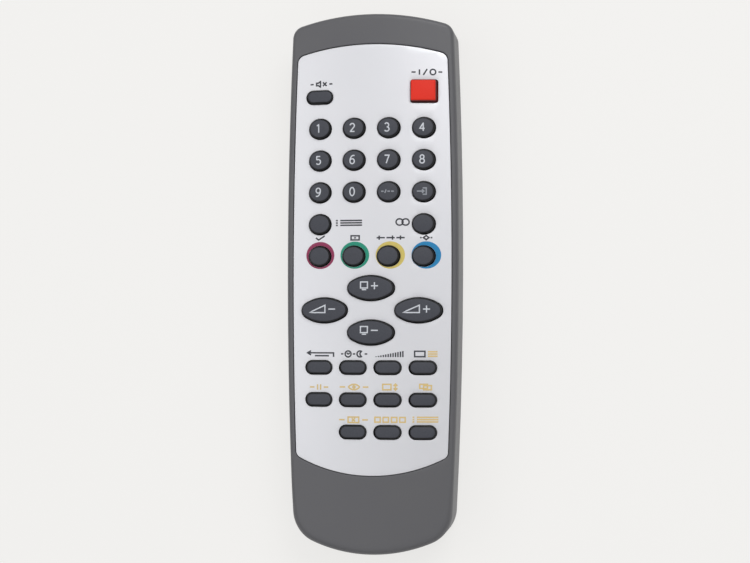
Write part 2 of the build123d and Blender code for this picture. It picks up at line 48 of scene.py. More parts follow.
scene = bpy.context.scene
camera = bpy.data.objects.new("camera", bpy.data.cameras.new("camera"))
scene.collection.objects.link(camera)
camera.data.sensor_width = 36.0
camera.data.lens = FOCAL_PIXELS / PHOTO_WIDTH * camera.data.sensor_width
camera.data.clip_start = 0.01
turn = Matrix.Rotation(YAW, 4, "Y") @ Matrix.Rotation(PITCH, 4, "X") @ Matrix.Rotation(ROLL, 4, "Z")
camera.matrix_world = Matrix.Translation(Vector(CAMERA_PLACE)) @ turn
scene.camera = camera

# Paper and light. White paper lies under the handset and fills the view. The white room gives most of the
# light. Seen directly it is as white as the paper, but its light falls off towards the horizon, so edges that
# face sideways show. One broad lamp hangs over the head end and one stands to the left.
scene.view_settings.view_transform = "Standard"


def sheer(code):
    """An sRGB hex colour as linear red, green, blue and an alpha of one."""
    srgb = np.array([int(code[k : k + 2], 16) for k in (1, 3, 5)]) / 255
    linear = np.where(srgb <= 0.04045, srgb / 12.92, ((srgb + 0.055) / 1.055) ** 2.4)
    return (*linear, 1.0)


def add(tree, kind, inputs=None, **settings):
    """Adds a shader node and returns its outputs; an input is a value, or the output socket that feeds it."""
    node = tree.nodes.new("ShaderNode" + kind)
    for name, value in settings.items():
        setattr(node, name, value)
    for name, value in (inputs or {}).items():
        if isinstance(value, bpy.types.NodeSocket):
            tree.links.new(value, node.inputs[name])
        else:
            node.inputs[name].default_value = value
    return node.outputs


def material(name):
    """An empty node material and its tree."""
    made = bpy.data.materials.new(name)
    made.use_nodes = True
    made.node_tree.nodes.clear()
    return made, made.node_tree


def surfaced(made, inputs):
    """Ends a material in a principled shader with these inputs, and returns it."""
    shader = add(made.node_tree, "BsdfPrincipled", inputs)
    add(made.node_tree, "OutputMaterial", {"Surface": shader["BSDF"]})
    return made


PAPER_WHITE = "#f5f4f2"
PAPER_GLOW = 0.8  # share of the paper's white that no shadow takes away, seen directly or in a reflection

paper, tree = material("matt_white_paper")
matt = {"Base Color": sheer(PAPER_WHITE), "Roughness": 0.9, "Specular IOR Level": 0.2}
sheet = add(tree, "BsdfPrincipled", matt)["BSDF"]
glow = add(tree, "Emission", {"Color": sheer(PAPER_WHITE)})["Emission"]
ray = add(tree, "LightPath")
seen = add(tree, "Math", {0: ray["Is Camera Ray"], 1: ray["Is Glossy Ray"]}, operation="MAXIMUM")["Value"]
share = add(tree, "Math", {0: seen, 1: PAPER_GLOW}, operation="MULTIPLY")["Value"]
add(tree, "OutputMaterial", {"Surface": add(tree, "MixShader", {0: share, 1: sheet, 2: glow})["Shader"]})
bpy.ops.mesh.primitive_plane_add(size=6.0, location=(0, 0, -0.0002))
floor = bpy.context.object
floor.name = "paper_floor"
floor.data.materials.append(paper)

CAMERA_SHADE = (0.25, -0.17, 0.95)  # where the camera and its stand hide some of the ceiling
room = bpy.data.worlds.new("white_room")
scene.world = room
room.use_nodes = True
tree = room.node_tree
tree.nodes.clear()
direction = add(tree, "TexCoord")["Generated"]
near = add(tree, "VectorMath", {0: direction, 1: CAMERA_SHADE}, operation="DOT_PRODUCT")["Value"]
hidden = {"Value": near, "From Min": 0.91, "From Max": 0.99, "To Min": 1.0, "To Max": 0.28}
shade = add(tree, "MapRange", hidden, interpolation_type="SMOOTHSTEP")["Result"]
height = add(tree, "SeparateXYZ", {"Vector": direction})["Z"]
dimming = {"Value": height, "From Min": 0.0, "From Max": 0.75, "To Min": 0.1, "To Max": 0.74}
level = add(tree, "MapRange", dimming, interpolation_type="SMOOTHSTEP")["Result"]
strength = add(tree, "Math", {0: level, 1: shade}, operation="MULTIPLY")["Value"]
lit = add(tree, "Background", {"Color": sheer("#ffffff"), "Strength": strength})["Background"]
backdrop = add(tree, "Background", {"Color": sheer(PAPER_WHITE), "Strength": 1.0})["Background"]
ray = add(tree, "LightPath")
looked_at = add(tree, "Math", {0: ray["Is Camera Ray"], 1: ray["Is Transmission Ray"]}, operation="MAXIMUM")
shown = add(tree, "MixShader", {0: looked_at["Value"], 1: lit, 2: backdrop})["Shader"]
add(tree, "OutputWorld", {"Surface": shown})

LAMPS = {  # name: place in metres, width in metres, watts
    "lamp_head": ((0.3, 0.55, 0.8), 0.5, 3.2),
    "lamp_left": ((-0.7, 0.1, 0.8), 0.6, 0.8),
}
for lamp_name, (place, width, watts) in LAMPS.items():
    lamp = bpy.data.objects.new(lamp_name, bpy.data.lights.new(lamp_name, "AREA"))
    scene.collection.objects.link(lamp)
    lamp.data.size = width
    lamp.data.energy = watts
    lamp.location = place
    lamp.rotation_euler = (-Vector(place)).to_track_quat("-Z", "Y").to_euler()

# Case halves. Both are ABS, injection moulded in dark warm grey against spark-eroded steel, which leaves a
# fine even grain. Long arcs bound the plan, the face is bowed across the width, and the upper half has a
# window with a ledge that the silver plate drops into.
HEIGHT, CROWN, SPLIT = 22.0, 120.0, 10.0
CASE_OUTLINE = (27.35, 1600.0, 8.0, (85.05, 87.0, 4.0), (-85.05, 49.5, 10.5))
PLATE_OUTLINE = (25.2, 1610.0, 6.0, (75.3, 87.3, 2.6), (-60.3, 51.0, 2.3))
FACE_WALL, WALL, PLATE_SINK, PLATE_RIM, LEDGE, PLATE_GAP = 2.0, 1.8, 0.15, 1.0, 1.2, 0.2
SHOULDER, MOULD_EDGE, PARTING = 1.3, 0.3, 0.22
TAIL_SHOULDER, TAIL_START_Y, TAIL_GROWTH = 2.4, -62.0, 18.0  # it grows over this length round the tail
LAP_INSET, LAP_HEIGHT = 0.85, 1.3  # the recess that the lower half's tongue stands in
EMITTER_HOLE, HOLE_START_Y, HOLE_END_Y = 2.6, 70.0, 90.0  # radius, and a cut right through the head wall


def crown(x, depth=0.0):
    """Height of the face at x, or of a surface this far under it: a circle's arc across the width."""
    return HEIGHT - CROWN + np.sqrt((CROWN - depth) ** 2 - x**2)


def directions(angle):
    """Unit vectors at these angles, one to a row."""
    return np.stack([np.cos(angle), np.sin(angle)], 1)


def bowed_outline(half_width, bow, bow_y, head, tail, steps=(36, 14, 70, 16, 36)):
    """Points and outward normals of a plan outline of end arcs and long side arcs with rounded corners.

    A corner circle touches its end arc and its side arc from within. Its centre is therefore one corner
    radius nearer to each of their centres than the arcs are, and the meeting point of those two circles. A
    point moved along its normal lies on the outline drawn in or out by that much.
    """
    side_centre = np.array([half_width - bow, bow_y])
    centres, radii, marks = [], [], []
    for end_y, arc, corner in (head, tail):
        end_centre = np.array([0.0, end_y - np.sign(end_y) * arc])
        across = side_centre - end_centre
        apart = np.hypot(*across)
        along = ((arc - corner) ** 2 - (bow - corner) ** 2 + apart**2) / (2 * apart)
        off = np.sqrt((arc - corner) ** 2 - along**2) * np.sign(end_y)
        unit = across / apart
        centre = end_centre + along * unit + off * np.array([unit[1], -unit[0]])
        centres += [end_centre, centre]
        radii += [arc, corner]
        marks += [np.arctan2(*(centre - end_centre)[::-1]), np.arctan2(*(centre - side_centre)[::-1])]
    arcs = [
        (centres[0], radii[0], np.pi / 2, marks[0]),
        (centres[1], radii[1], marks[0], marks[1]),
        (side_centre, bow, marks[1], marks[3]),
        (centres[3], radii[3], marks[3], marks[2]),
        (centres[2], radii[2], marks[2], -np.pi / 2),
    ]
    points, normals = [], []
    for (centre, radius, start, end), count in zip(arcs, steps):
        angle = np.linspace(start, end, count, endpoint=False)
        normals.append(directions(angle))
        points.append(centre + radius * normals[-1])
    points, normals = np.concatenate(points), np.concatenate(normals)
    flip = np.array([-1.0, 1.0])
    points = np.concatenate([points, [(0.0, tail[0])], points[:0:-1] * flip])
    return points, np.concatenate([normals, [(0.0, -1.0)], normals[:0:-1] * flip])


def lifted(plan, heights):
    """Plan points with their heights, as one array of three columns."""
    return np.concatenate([plan, np.broadcast_to(heights, plan.shape[:-1])[..., None]], -1)


def crowned(plan, depth=0.0, drop=0.0):
    """Plan points laid on the face or on a surface this deep under it, then lowered by drop."""
    return lifted(plan, crown(plan[:, 0], depth) - drop)


def store(work, mesh, smooth_angle):
    """Writes an edit back to its mesh, shaded smooth but for the edges that are sharper than the angle."""
    sharp = float(np.radians(smooth_angle))
    for edge in work.edges:
        edge.smooth = len(edge.link_faces) == 2 and edge.calc_face_angle(0.0) < sharp
    for face in work.faces:
        face.smooth = True
    work.to_mesh(mesh)
    work.free()


def linked(name, mesh, *materials):
    """An object for a mesh, with its materials."""
    mesh.name = name
    mesh.materials.clear()
    for made in materials:
        mesh.materials.append(made)
    piece = bpy.data.objects.new(name, mesh)
    scene.collection.objects.link(piece)
    return piece


def mesh_piece(name, points, faces, *materials, smooth_angle=30.0):
    """A mesh object from points in millimetres; edges sharper than the angle stay crisp."""
    mesh = bpy.data.meshes.new(name)
    mesh.from_pydata((np.asarray(points) * MM).tolist(), [], faces)
    work = bmesh.new()
    work.from_mesh(mesh)
    bmesh.ops.remove_doubles(work, verts=work.verts, dist=0.001 * MM)
    bmesh.ops.recalc_face_normals(work, faces=work.faces)
    store(work, mesh, smooth_angle)
    return linked(name, mesh, *materials)


def grid_faces(rows, columns, wrap_rows=False, capped=False):
    """Quads between the rows of a grid whose columns close on themselves.

    wrap_rows joins the last row to the first one, and capped gives each of the two a face of its own.
    """
    row = np.arange(rows if wrap_rows else rows - 1)[:, None]
    column = np.arange(columns)[None, :]
    beside = (column + 1) % columns
    here, above = row * columns, (row + 1) % rows * columns
    corners = [here + column, here + beside, above + beside, above + column]
    caps = [list(range(columns)), list(range((rows - 1) * columns, rows * columns))] if capped else []
    return np.stack(corners, -1).reshape(-1, 4).tolist() + caps


def together(parts):
    """One mesh made of several, each given as its points and faces."""
    points, faces, count = [], [], 0
    for part_points, part_faces in parts:
        points.append(part_points)
        faces += [[count + corner for corner in face] for face in part_faces]
        count += len(part_points)
    return np.concatenate(points), faces


def upward(tree, low, high):
    """Rises from 0 to 1 where the upward part of the surface's normal goes from low to high."""
    facing = add(tree, "SeparateXYZ", {"Vector": add(tree, "NewGeometry")["Normal"]})["Z"]
    return add(tree, "MapRange", {"Value": facing, "From Min": low, "From Max": high})["Result"]


def finish(name, colours, roughness, patch, relief=0.0, grain=None, spread=0.2, bare=None, **inputs):
    """A finish whose colour wanders between two in patches of this many millimetres.

    Its roughness wanders by spread, a share, and its height by relief, in millimetres, in grains of their own
    size or in the same patches. A dark colour for steep faces, given with the two upward parts of the normal
    between which it gives way, is painted shade on them. Further inputs go straight to the shader.
    """
    made, tree = material(name)
    place = add(tree, "TexCoord")["Object"]
    patches = add(tree, "TexNoise", {"Vector": place, "Scale": 1 / (patch * MM), "Detail": 4.0})["Fac"]
    mixed = {"Factor": patches, "A": sheer(colours[0]), "B": sheer(colours[1])}
    tone = add(tree, "Mix", mixed, data_type="RGBA")["Result"]
    # Steep faces take the given dark colour: painted shade.
    if bare:
        by_facing = {"Factor": upward(tree, *bare[1:]), "A": sheer(bare[0]), "B": tone}
        tone = add(tree, "Mix", by_facing, data_type="RGBA")["Result"]
    grains = patches
    if grain:
        fine = {"Vector": place, "Scale": 1 / (grain * MM), "Detail": 3.0, "Roughness": 0.6}
        grains = add(tree, "TexNoise", fine)["Fac"]
    gloss = {"Value": grains, "To Min": roughness * (1 - spread), "To Max": roughness * (1 + spread)}
    shading = {
        "Base Color": tone,
        "Roughness": add(tree, "MapRange", gloss)["Result"],
        "Normal": add(tree, "Bump", {"Height": grains, "Strength": 0.3, "Distance": relief * MM})["Normal"],
    }
    return surfaced(made, shading | {key.replace("_", " "): value for key, value in inputs.items()})


def front_case_rows():
    """Rows of the upper half from the parting line over the face into the window and back down inside.

    The outer wall is the outline. The shoulder and the window's lip are quarter arcs. The face between them
    is the straight blend of the drawn-in outline and the window, at the crown's height.
    """
    outer, outward = bowed_outline(*CASE_OUTLINE)
    window, window_out = bowed_outline(*PLATE_OUTLINE)
    quarter = np.linspace(0, np.pi / 2, 8)
    tail_share = np.clip((TAIL_START_Y - outer[:, 1:]) / TAIL_GROWTH, 0, 1)
    shoulder = SHOULDER + (TAIL_SHOULDER - SHOULDER) * tail_share**2 * (3 - 2 * tail_share)
    rows = [
        lifted(outer - PARTING * outward, SPLIT),
        lifted(outer, SPLIT + PARTING),
        crowned(outer, drop=2 * TAIL_SHOULDER),
    ]
    for angle in quarter:
        plan = outer - shoulder * (1 - np.cos(angle)) * outward
        rows.append(crowned(plan, drop=shoulder[:, 0] * (1 - np.sin(angle))))
    inner_edge = outer - shoulder * outward
    lip = window + (PLATE_GAP + MOULD_EDGE) * window_out
    rows += [crowned(inner_edge + share * (lip - inner_edge)) for share in np.linspace(0, 1, 20)[1:-1]]
    for angle in quarter:
        plan = window + (PLATE_GAP + MOULD_EDGE * (1 - np.sin(angle))) * window_out
        rows.append(crowned(plan, drop=MOULD_EDGE * (1 - np.cos(angle))))
    ledge_depth = PLATE_SINK + PLATE_RIM
    for grow, depth in ((PLATE_GAP, ledge_depth), (-LEDGE, ledge_depth), (-LEDGE, FACE_WALL)):
        rows.append(crowned(window + grow * window_out, depth))
    inside = outer - WALL * outward
    start = window - LEDGE * window_out
    rows += [crowned(start + share * (inside - start), FACE_WALL) for share in np.linspace(0, 1, 8)[1:]]
    lap = outer - LAP_INSET * outward
    rows += [lifted(inside, SPLIT + LAP_HEIGHT), lifted(lap, SPLIT + LAP_HEIGHT), lifted(lap, SPLIT)]
    return np.array(rows)


# A spark-eroded mould leaves ABS satin, with a grain that breaks up its reflections, and handling leaves
# large faint patches. The real grain is near 0.1 mm, too fine to show in the render.
eroded = {"relief": 0.02, "grain": 0.45, "spread": 0.33, "IOR": 1.53}
case_abs = finish("moulded_grey_abs", ("#5c5c61", "#626264"), 0.46, 24, **eroded)
rows = front_case_rows()
front = mesh_piece("front_shell", rows.reshape(-1, 3), grid_faces(*rows.shape[:2], wrap_rows=True), case_abs)


def turned(profile, centre, axis, count=48):
    """A lathe form: places along an axis and the radii there, carried round it, in rows of count points.

    The radii of one place may differ round the axis. A radius of zero closes an end in a pole.
    """
    along, radii = profile
    angle = np.linspace(0, 2 * np.pi, count, endpoint=False)
    points = np.empty((len(along), count, 3))
    points[..., axis] = np.reshape(along, (-1, 1))
    points[..., (axis + 1) % 3] = np.reshape(radii, (len(along), -1)) * np.cos(angle)
    points[..., (axis + 2) % 3] = np.reshape(radii, (len(along), -1)) * np.sin(angle)
    return (points + centre).reshape(-1, 3), grid_faces(len(along), count)


def carve(piece, points, faces, smooth_angle=30.0):
    """Cuts the closed form of these points and faces out of a piece."""
    tool = mesh_piece("carving_tool", points, faces)
    cut = piece.modifiers.new("cut", "BOOLEAN")
    cut.solver = "EXACT"
    cut.object = tool
    carved = bpy.data.meshes.new_from_object(piece.evaluated_get(bpy.context.evaluated_depsgraph_get()))
    piece.modifiers.remove(cut)
    work = bmesh.new()
    work.from_mesh(carved)
    store(work, piece.data, smooth_angle)
    bpy.data.meshes.remove(carved)
    bpy.data.objects.remove(tool)


hole_places = [HOLE_START_Y, HOLE_START_Y, HOLE_END_Y, HOLE_END_Y]
carve(front, *turned((hole_places, [0.0, EMITTER_HOLE, EMITTER_HOLE, 0.0]), (0, 0, SPLIT), 1, 64))
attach(front, "case")
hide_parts("front_case")


def joined(node):
    """An edit of a CAD node's mesh with its loose triangles joined."""
    work = bmesh.new()
    work.from_mesh(nodes[node].data)
    bmesh.ops.remove_doubles(work, verts=work.verts, dist=0.002 * MM)
    return work


def enclosed(points, *loops):
    """Which plan points lie in the first loop but not in those inside it, which are its holes.

    A ray to the right from such a point crosses the loops an odd number of times in all.
    """
    odd = np.zeros(len(points), bool)
    for start in loops:
        end = np.roll(start, -1, 0)
        spans = (start[:, 1] > points[:, 1:2]) != (end[:, 1] > points[:, 1:2])
        rise = np.where(end[:, 1] == start[:, 1], 1e-12, end[:, 1] - start[:, 1])
        cross = start[:, 0] + (points[:, 1:2] - start[:, 1]) / rise * (end[:, 0] - start[:, 0])
        odd ^= (spans & (points[:, 0:1] < cross)).sum(1) % 2 == 1
    return odd


def inner_features(node, name):
    """What stands inside the walls of a CAD node, each feature closed again where it joins them.

    A face is kept where its middle lies within the inner wall and under the inner crown, or below the
    parting line. That leaves the bosses, clamps, hooks and the emitter's rib.
    """
    margin = 0.05
    work = joined(node)
    middles = np.array([face.calc_center_median() for face in work.faces]) / MM
    outer, outward = bowed_outline(*CASE_OUTLINE)
    kept = enclosed(middles[:, :2], outer - (WALL + margin) * outward)
    kept &= middles[:, 2] < crown(middles[:, 0], FACE_WALL + margin)
    kept |= middles[:, 2] < SPLIT - margin
    bmesh.ops.delete(work, geom=[f for f, keep in zip(work.faces, kept) if not keep], context="FACES")
    bmesh.ops.holes_fill(work, edges=[edge for edge in work.edges if edge.is_boundary], sides=0)
    bmesh.ops.recalc_face_normals(work, faces=work.faces)
    mesh = bpy.data.meshes.new(name)
    store(work, mesh, 25)
    return linked(name, mesh, case_abs)


ribs = inner_features("front_case", "front_inside")
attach(ribs, "case")


def smooth_copy(node, name, *materials, edge=0.15, cuts=()):
    """A CAD node as one merged mesh, flat faces joined, with its sharp edges rounded off by edge millimetres.

    Its faces are divided at each x that is named, so that a material can end there.
    """
    mesh, work = bpy.data.meshes.new(name), joined(node)
    bmesh.ops.dissolve_limit(work, angle_limit=np.radians(0.5), verts=work.verts, edges=work.edges)
    for x in cuts:
        everything = [*work.verts, *work.edges, *work.faces]
        bmesh.ops.bisect_plane(work, geom=everything, plane_co=(x * MM, 0, 0), plane_no=(1, 0, 0))
    store(work, mesh, 25)
    piece = linked(name, mesh, *materials)
    bevel = piece.modifiers.new("edges", "BEVEL")
    bevel.width = edge * MM
    bevel.segments = 2
    bevel.limit_method = "ANGLE"
    bevel.angle_limit = np.radians(35)
    bevel.harden_normals = True
    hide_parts(node)
    return piece


rear = smooth_copy("rear_case", "rear_shell", case_abs)
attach(rear, "case")

# Battery cover. It is moulded in the same grey ABS as the halves and slides off over the tail end on two
# tongues; its thumb grip is a row of grooves.
cover = smooth_copy("battery_cover", "cover_shell", case_abs)
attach(cover, "cover")

# Face plate. It is a thin ABS moulding sprayed with silver lacquer and set into the window, with a hole for
# every key; its edges and holes have the small rounding that paint and polish leave.
KEY_PITCH_X, KEY_PITCH_Y, KEY_GAP = 11.0, 10.09, 0.3
NUMBER_TOP_Y, LOWER_TOP_Y, POWER_Y = 48.87, -26.43, 60.42
CROSS_X, CROSS_Y, CROSS_HALF = 14.94, -8.49, 6.97
KEY_SIZES = {  # width, height, then the radius of the long sides (round, oval) or of the corners
    "round": (6.85, 6.1, 3.85),
    "oval": (14.6, 7.6, 11.6),
    "oblong": (8.25, 3.95, 1.975),
    "square": (8.05, 6.75, 0.5),
}
HOLE_EDGE = 0.15
HOLE_SHIFT = {  # how far the openings sit off their keys
    "round": (0.12, -0.1),
    "oval": (0.08, -0.1),
    "oblong": (-0.16, -0.1),
    "square": (0.2, -0.17),
}

KEY_COLUMNS = [KEY_PITCH_X * step for step in (-1.5, -0.5, 0.5, 1.5)]
KEY_ROWS = {  # shape: place of the first row, and the rows' keys from the left; a dash leaves a column empty
    "round": (
        NUMBER_TOP_Y,
        "1 2 3 4",
        "5 6 7 8",
        "9 0 two_digit source",
        "menu - - sound",
        "red green yellow blue",
    ),
    "oblong": (
        LOWER_TOP_Y,
        "last timer info teletext",
        "hold show zoom overlay",
        "- clear subpage contents",
    ),
}
KEYS = {
    "power": ("square", KEY_COLUMNS[3], POWER_Y),
    "mute": ("oblong", KEY_COLUMNS[0], NUMBER_TOP_Y + KEY_PITCH_Y),
    "program_up": ("oval", 0.0, CROSS_Y + CROSS_HALF),
    "program_down": ("oval", 0.0, CROSS_Y - CROSS_HALF),
    "volume_down": ("oval", -CROSS_X, CROSS_Y),
    "volume_up": ("oval", CROSS_X, CROSS_Y),
}
for shape, (top_y, *rows) in KEY_ROWS.items():
    for step, row in enumerate(rows):
        y = top_y - step * KEY_PITCH_Y
        KEYS.update({key: (shape, x, y) for key, x in zip(row.split(), KEY_COLUMNS) if key != "-"})


def key_outline(shape, grow=0.0, count=96):
    """A key's outline about its own middle, drawn out by grow: arcs of circles, evenly resampled by length.

    Round and oval keys have a wide arc above and below and a tighter one at each end. The arcs meet without a
    bend: end radius = (2 radius short - short^2 - long^2) / (2 (radius - long)), with half sizes long and
    short. The other keys are rectangles with round corners, which meet at the ends of an oblong key.
    """
    width, height, radius = KEY_SIZES[shape]
    long, short, quarter = width / 2, height / 2, np.pi / 2
    if shape in ("round", "oval"):
        end = (2 * radius * short - short**2 - long**2) / (2 * (radius - long))
        lean = np.arctan2(radius - short, long - end)
        arcs = [
            (long - end, 0.0, end, -lean, lean),
            (0.0, short - radius, radius, lean, np.pi - lean),
            (end - long, 0.0, end, np.pi - lean, np.pi + lean),
            (0.0, radius - short, radius, np.pi + lean, 2 * np.pi - lean),
        ]
    else:
        x, y = long - radius, short - radius
        ways = ((1, -1, -quarter), (1, 1, 0.0), (-1, 1, quarter), (-1, -1, 2 * quarter))
        arcs = [(side * x, way * y, radius, start, start + quarter) for side, way, start in ways]
    points = []
    for x, y, radius, start, stop in arcs:
        angle = np.linspace(start, stop, 80)
        points.append((x, y) + (radius + grow) * directions(angle))
    points = np.concatenate(points + [points[0][:1]])
    length = np.concatenate([[0.0], np.cumsum(np.hypot(*np.diff(points, axis=0).T))])
    at = np.linspace(0, length[-1], count, endpoint=False)
    return np.stack([np.interp(at, length, points[:, 0]), np.interp(at, length, points[:, 1])], 1)


def plate_sheet(loops, depth):
    """Triangles that fill the first plan loop but not the others, laid this deep under the face.

    The loops and a lattice of points inside them are joined by a constrained Delaunay triangulation, and the
    triangles whose middles lie in a hole are dropped.
    """
    spacing, clearance = 2.0, 0.5
    x, y = np.meshgrid(np.arange(-26, 26, spacing), np.arange(-64, 78, spacing))  # past the plate's edges
    free = np.stack([x.ravel(), y.ravel()], 1)
    keep = enclosed(free, *loops)
    for loop in loops:
        keep &= np.min(np.hypot(*(free[:, None] - loop[None]).transpose(2, 0, 1)), 1) >= clearance
    points = np.concatenate([*loops, free[keep]])
    edges, first = [], 0
    for loop in loops:
        index = np.arange(len(loop))
        edges += np.stack([first + index, first + (index + 1) % len(loop)], 1).tolist()
        first += len(loop)
    result = delaunay_2d_cdt([Vector(p) for p in points], edges, [], 0, 1e-6)
    plan = np.array([tuple(v) for v in result[0]])
    triangles = np.array(result[2])
    filled = enclosed(plan[triangles].mean(1), *loops)
    return crowned(plan, depth), triangles[filled].tolist()


def face_plate_mesh():
    """The plate's points and faces: a crowned sheet with holes on top and below, joined by rounded rims.

    Round the outside the rim steps in to the thicker field that drops inside the ledge; round each hole a
    quarter arc leads into a straight wall.
    """
    outline, outward = bowed_outline(*PLATE_OUTLINE)
    quarter = np.linspace(0, np.pi / 2, 6)
    deep = FACE_WALL - PLATE_SINK
    profiles = [(-HOLE_EDGE * (1 - np.sin(a)), HOLE_EDGE * (1 - np.cos(a))) for a in quarter]
    rows = [outline + grow * outward for grow, _ in profiles]
    depths = [depth for _, depth in profiles]
    step = -(LEDGE + PLATE_GAP)
    rows += [outline, outline + step * outward, outline + step * outward]
    depths += [PLATE_RIM, PLATE_RIM, deep]
    rims = [(rows, depths)]
    for shape, x, y in KEYS.values():
        place = np.array([x, y]) + HOLE_SHIFT[shape]
        hole_rows = [key_outline(shape, KEY_GAP - grow) + place for grow, _ in profiles]
        rims.append((hole_rows + hole_rows[-1:], [depth for _, depth in profiles] + [deep]))
    parts = []
    for rows, depths in rims:
        grid = np.array([crowned(row, PLATE_SINK + depth) for row, depth in zip(rows, depths)])
        parts.append((grid.reshape(-1, 3), grid_faces(*grid.shape[:2])))
    for row, depth in ((0, 0.0), (-1, deep)):
        parts.append(plate_sheet([rows[row] for rows, _ in rims], PLATE_SINK + depth))
    return together(parts)


# Aluminium flakes under a satin clear coat are bright, but never a mirror. The lacquer is sprayed from above,
# so the walls of the holes stay bare ABS, painted near black there as painted shade for the dark gaps round
# the keys. Real flakes are too fine to show in the render.
lacquered = {"relief": 0.006, "grain": 0.35, "spread": 0.375, "bare": ("#141416", 0.25, 0.6)}
lacquered |= {"Metallic": 0.35, "Coat_Weight": 0.15, "Coat_Roughness": 0.3}
silver_lacquer = finish("silver_lacquer_on_abs", ("#e5e6eb", "#ebebef"), 0.4, 30, **lacquered)
plate = mesh_piece("silver_plate", *face_plate_mesh(), silver_lacquer)
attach(plate, "case")
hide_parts("face_plate")

# Prints on the plate. Four colour rings and a small plain mark beside each key are pad printed in matt ink, a
# few hundredths of a millimetre thick. The lower marks are ochre, for the keys' second use.
INK_WIDTH, INK_SUNK, INK_PROUD = 0.46, 0.03, 0.035
SHARPEST = 1.2  # the least m.m at a bend in a print; it keeps the corner of a sharper one short
RING_WIDTH, RING_HEIGHT = 9.2, 8.55
RINGS = {  # key: how far its ring sits off the key's middle, and the ink
    "red": ((0.2, 0.25), "#95325a"),
    "green": ((0.4, 0.25), "#1d957a"),
    "yellow": ((0.65, 0.25), "#d8c46a"),
    "blue": ((0.9, 0.25), "#1a86bd"),
}


def ink(name, code):
    """Pad-printing ink: matt, with the faint mottle of a thin even film."""
    made, tree = material(name)
    place, mottle_size = add(tree, "TexCoord")["Object"], 0.5 * MM
    mottle = add(tree, "TexNoise", {"Vector": place, "Scale": 1 / mottle_size, "Detail": 2.0})["Fac"]
    level = add(tree, "MapRange", {"Value": mottle, "To Min": 0.92, "To Max": 1.08})["Result"]
    tone = add(tree, "HueSaturation", {"Color": sheer(code), "Value": level})["Color"]
    return surfaced(made, {"Base Color": tone, "Roughness": 0.6, "IOR": 1.5})


def plate_height(x, y):
    """Height of the plate's face, which is the same all along its length."""
    return crown(x, PLATE_SINK)


def ring_mesh(key, offset):
    """A flat ring of ink, from the key's opening out to an oval about the offset middle.

    Along a unit direction u from the key's middle, the oval is (u.c + sqrt((u.c)^2 - u.u (c.c - 1))) / u.u
    away, with u and the offset c scaled by its half sizes. The print never runs over the opening's edge.
    """
    _, x, y = KEYS[key]
    inner = key_outline("round", KEY_GAP + HOLE_EDGE / 2)
    reach = np.hypot(*inner.T)
    half = np.array([RING_WIDTH, RING_HEIGHT]) / 2
    unit, middle = inner / reach[:, None] / half, (np.array(offset) - HOLE_SHIFT["round"]) / half
    across = unit @ middle
    far = (across + np.sqrt(across**2 - (unit**2).sum(1) * (middle @ middle - 1))) / (unit**2).sum(1)
    grow = np.maximum(far / reach, 1.01)  # always a sliver of print
    rows = []
    for share, lift in ((0, -INK_SUNK), (0, INK_PROUD), (0.5, INK_PROUD), (1, INK_PROUD), (1, -INK_SUNK)):
        plan = inner * (1 + share * (grow - 1))[:, None] + (x, y) + HOLE_SHIFT["round"]
        rows.append(crowned(plan, PLATE_SINK, -lift))
    return np.concatenate(rows), grid_faces(len(rows), len(inner), wrap_rows=True)


for key, (offset, code) in RINGS.items():
    ring = mesh_piece("ring_" + key, *ring_mesh(key, offset), ink("pad_ink_" + key, code))
    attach(ring, "case")


def bow(x, y, across, up, start=0, end=360):
    """A stroke along an ellipse, from one angle in degrees to another."""
    return (x, y) + directions(np.radians(np.linspace(start, end, 25))) * (across, up)


def outlined(x, y, width, height):
    """A stroke round a rectangle."""
    return np.array([(-1, -1), (1, -1), (1, 1), (-1, 1), (-1, -1)]) * (width / 2, height / 2) + (x, y)


def bisectors(path, closed=False):
    """At each point of a path 2 m / m.m, where m adds the unit directions before and after it.

    Where a strip along the path is mitred, its edges lie half a width times this, turned square, away.
    """
    step = np.diff(path, axis=0)
    step /= np.linalg.norm(step, axis=1, keepdims=True)
    if closed:
        middle = step + np.roll(step, 1, 0)
    else:
        middle = np.concatenate([2 * step[:1], step[1:] + step[:-1], 2 * step[-1:]])
    return 2 * middle / np.maximum((middle**2).sum(1, keepdims=True), SHARPEST)


def ink_mesh(strokes, surface, width=INK_WIDTH):
    """A flat ribbon of ink carried along each stroke, from a little under the surface to a little over it.

    Each straight run is cut in four, so that the ribbon bends with the surface, and its bends are mitred.
    """
    share = np.arange(4)[:, None] / 4
    parts = []
    for stroke in strokes:
        path = np.array(stroke, float)
        run = np.diff(path, axis=0)
        path = np.concatenate([(path[:-1, None] + run[:, None] * share).reshape(-1, 2), path[-1:]])
        closed = np.allclose(path[0], path[-1])
        side = bisectors(path, closed)[:, ::-1] * (-width / 2, width / 2)
        if closed:
            path = path[:-1]
        corners = [(1, INK_PROUD), (-1, INK_PROUD), (-1, -INK_SUNK), (1, -INK_SUNK)]
        plans = [(path + way * side, lift) for way, lift in corners]
        ribbon = np.stack([lifted(plan, surface(*plan.T) + lift) for plan, lift in plans], 1)
        parts.append((ribbon.reshape(-1, 3), grid_faces(len(path), 4, wrap_rows=closed, capped=not closed)))
    return together(parts)


def dashes(near, far):
    """A dash on either side of a mark."""
    return [[(-far, 0), (-near, 0)], [(near, 0), (far, 0)]]


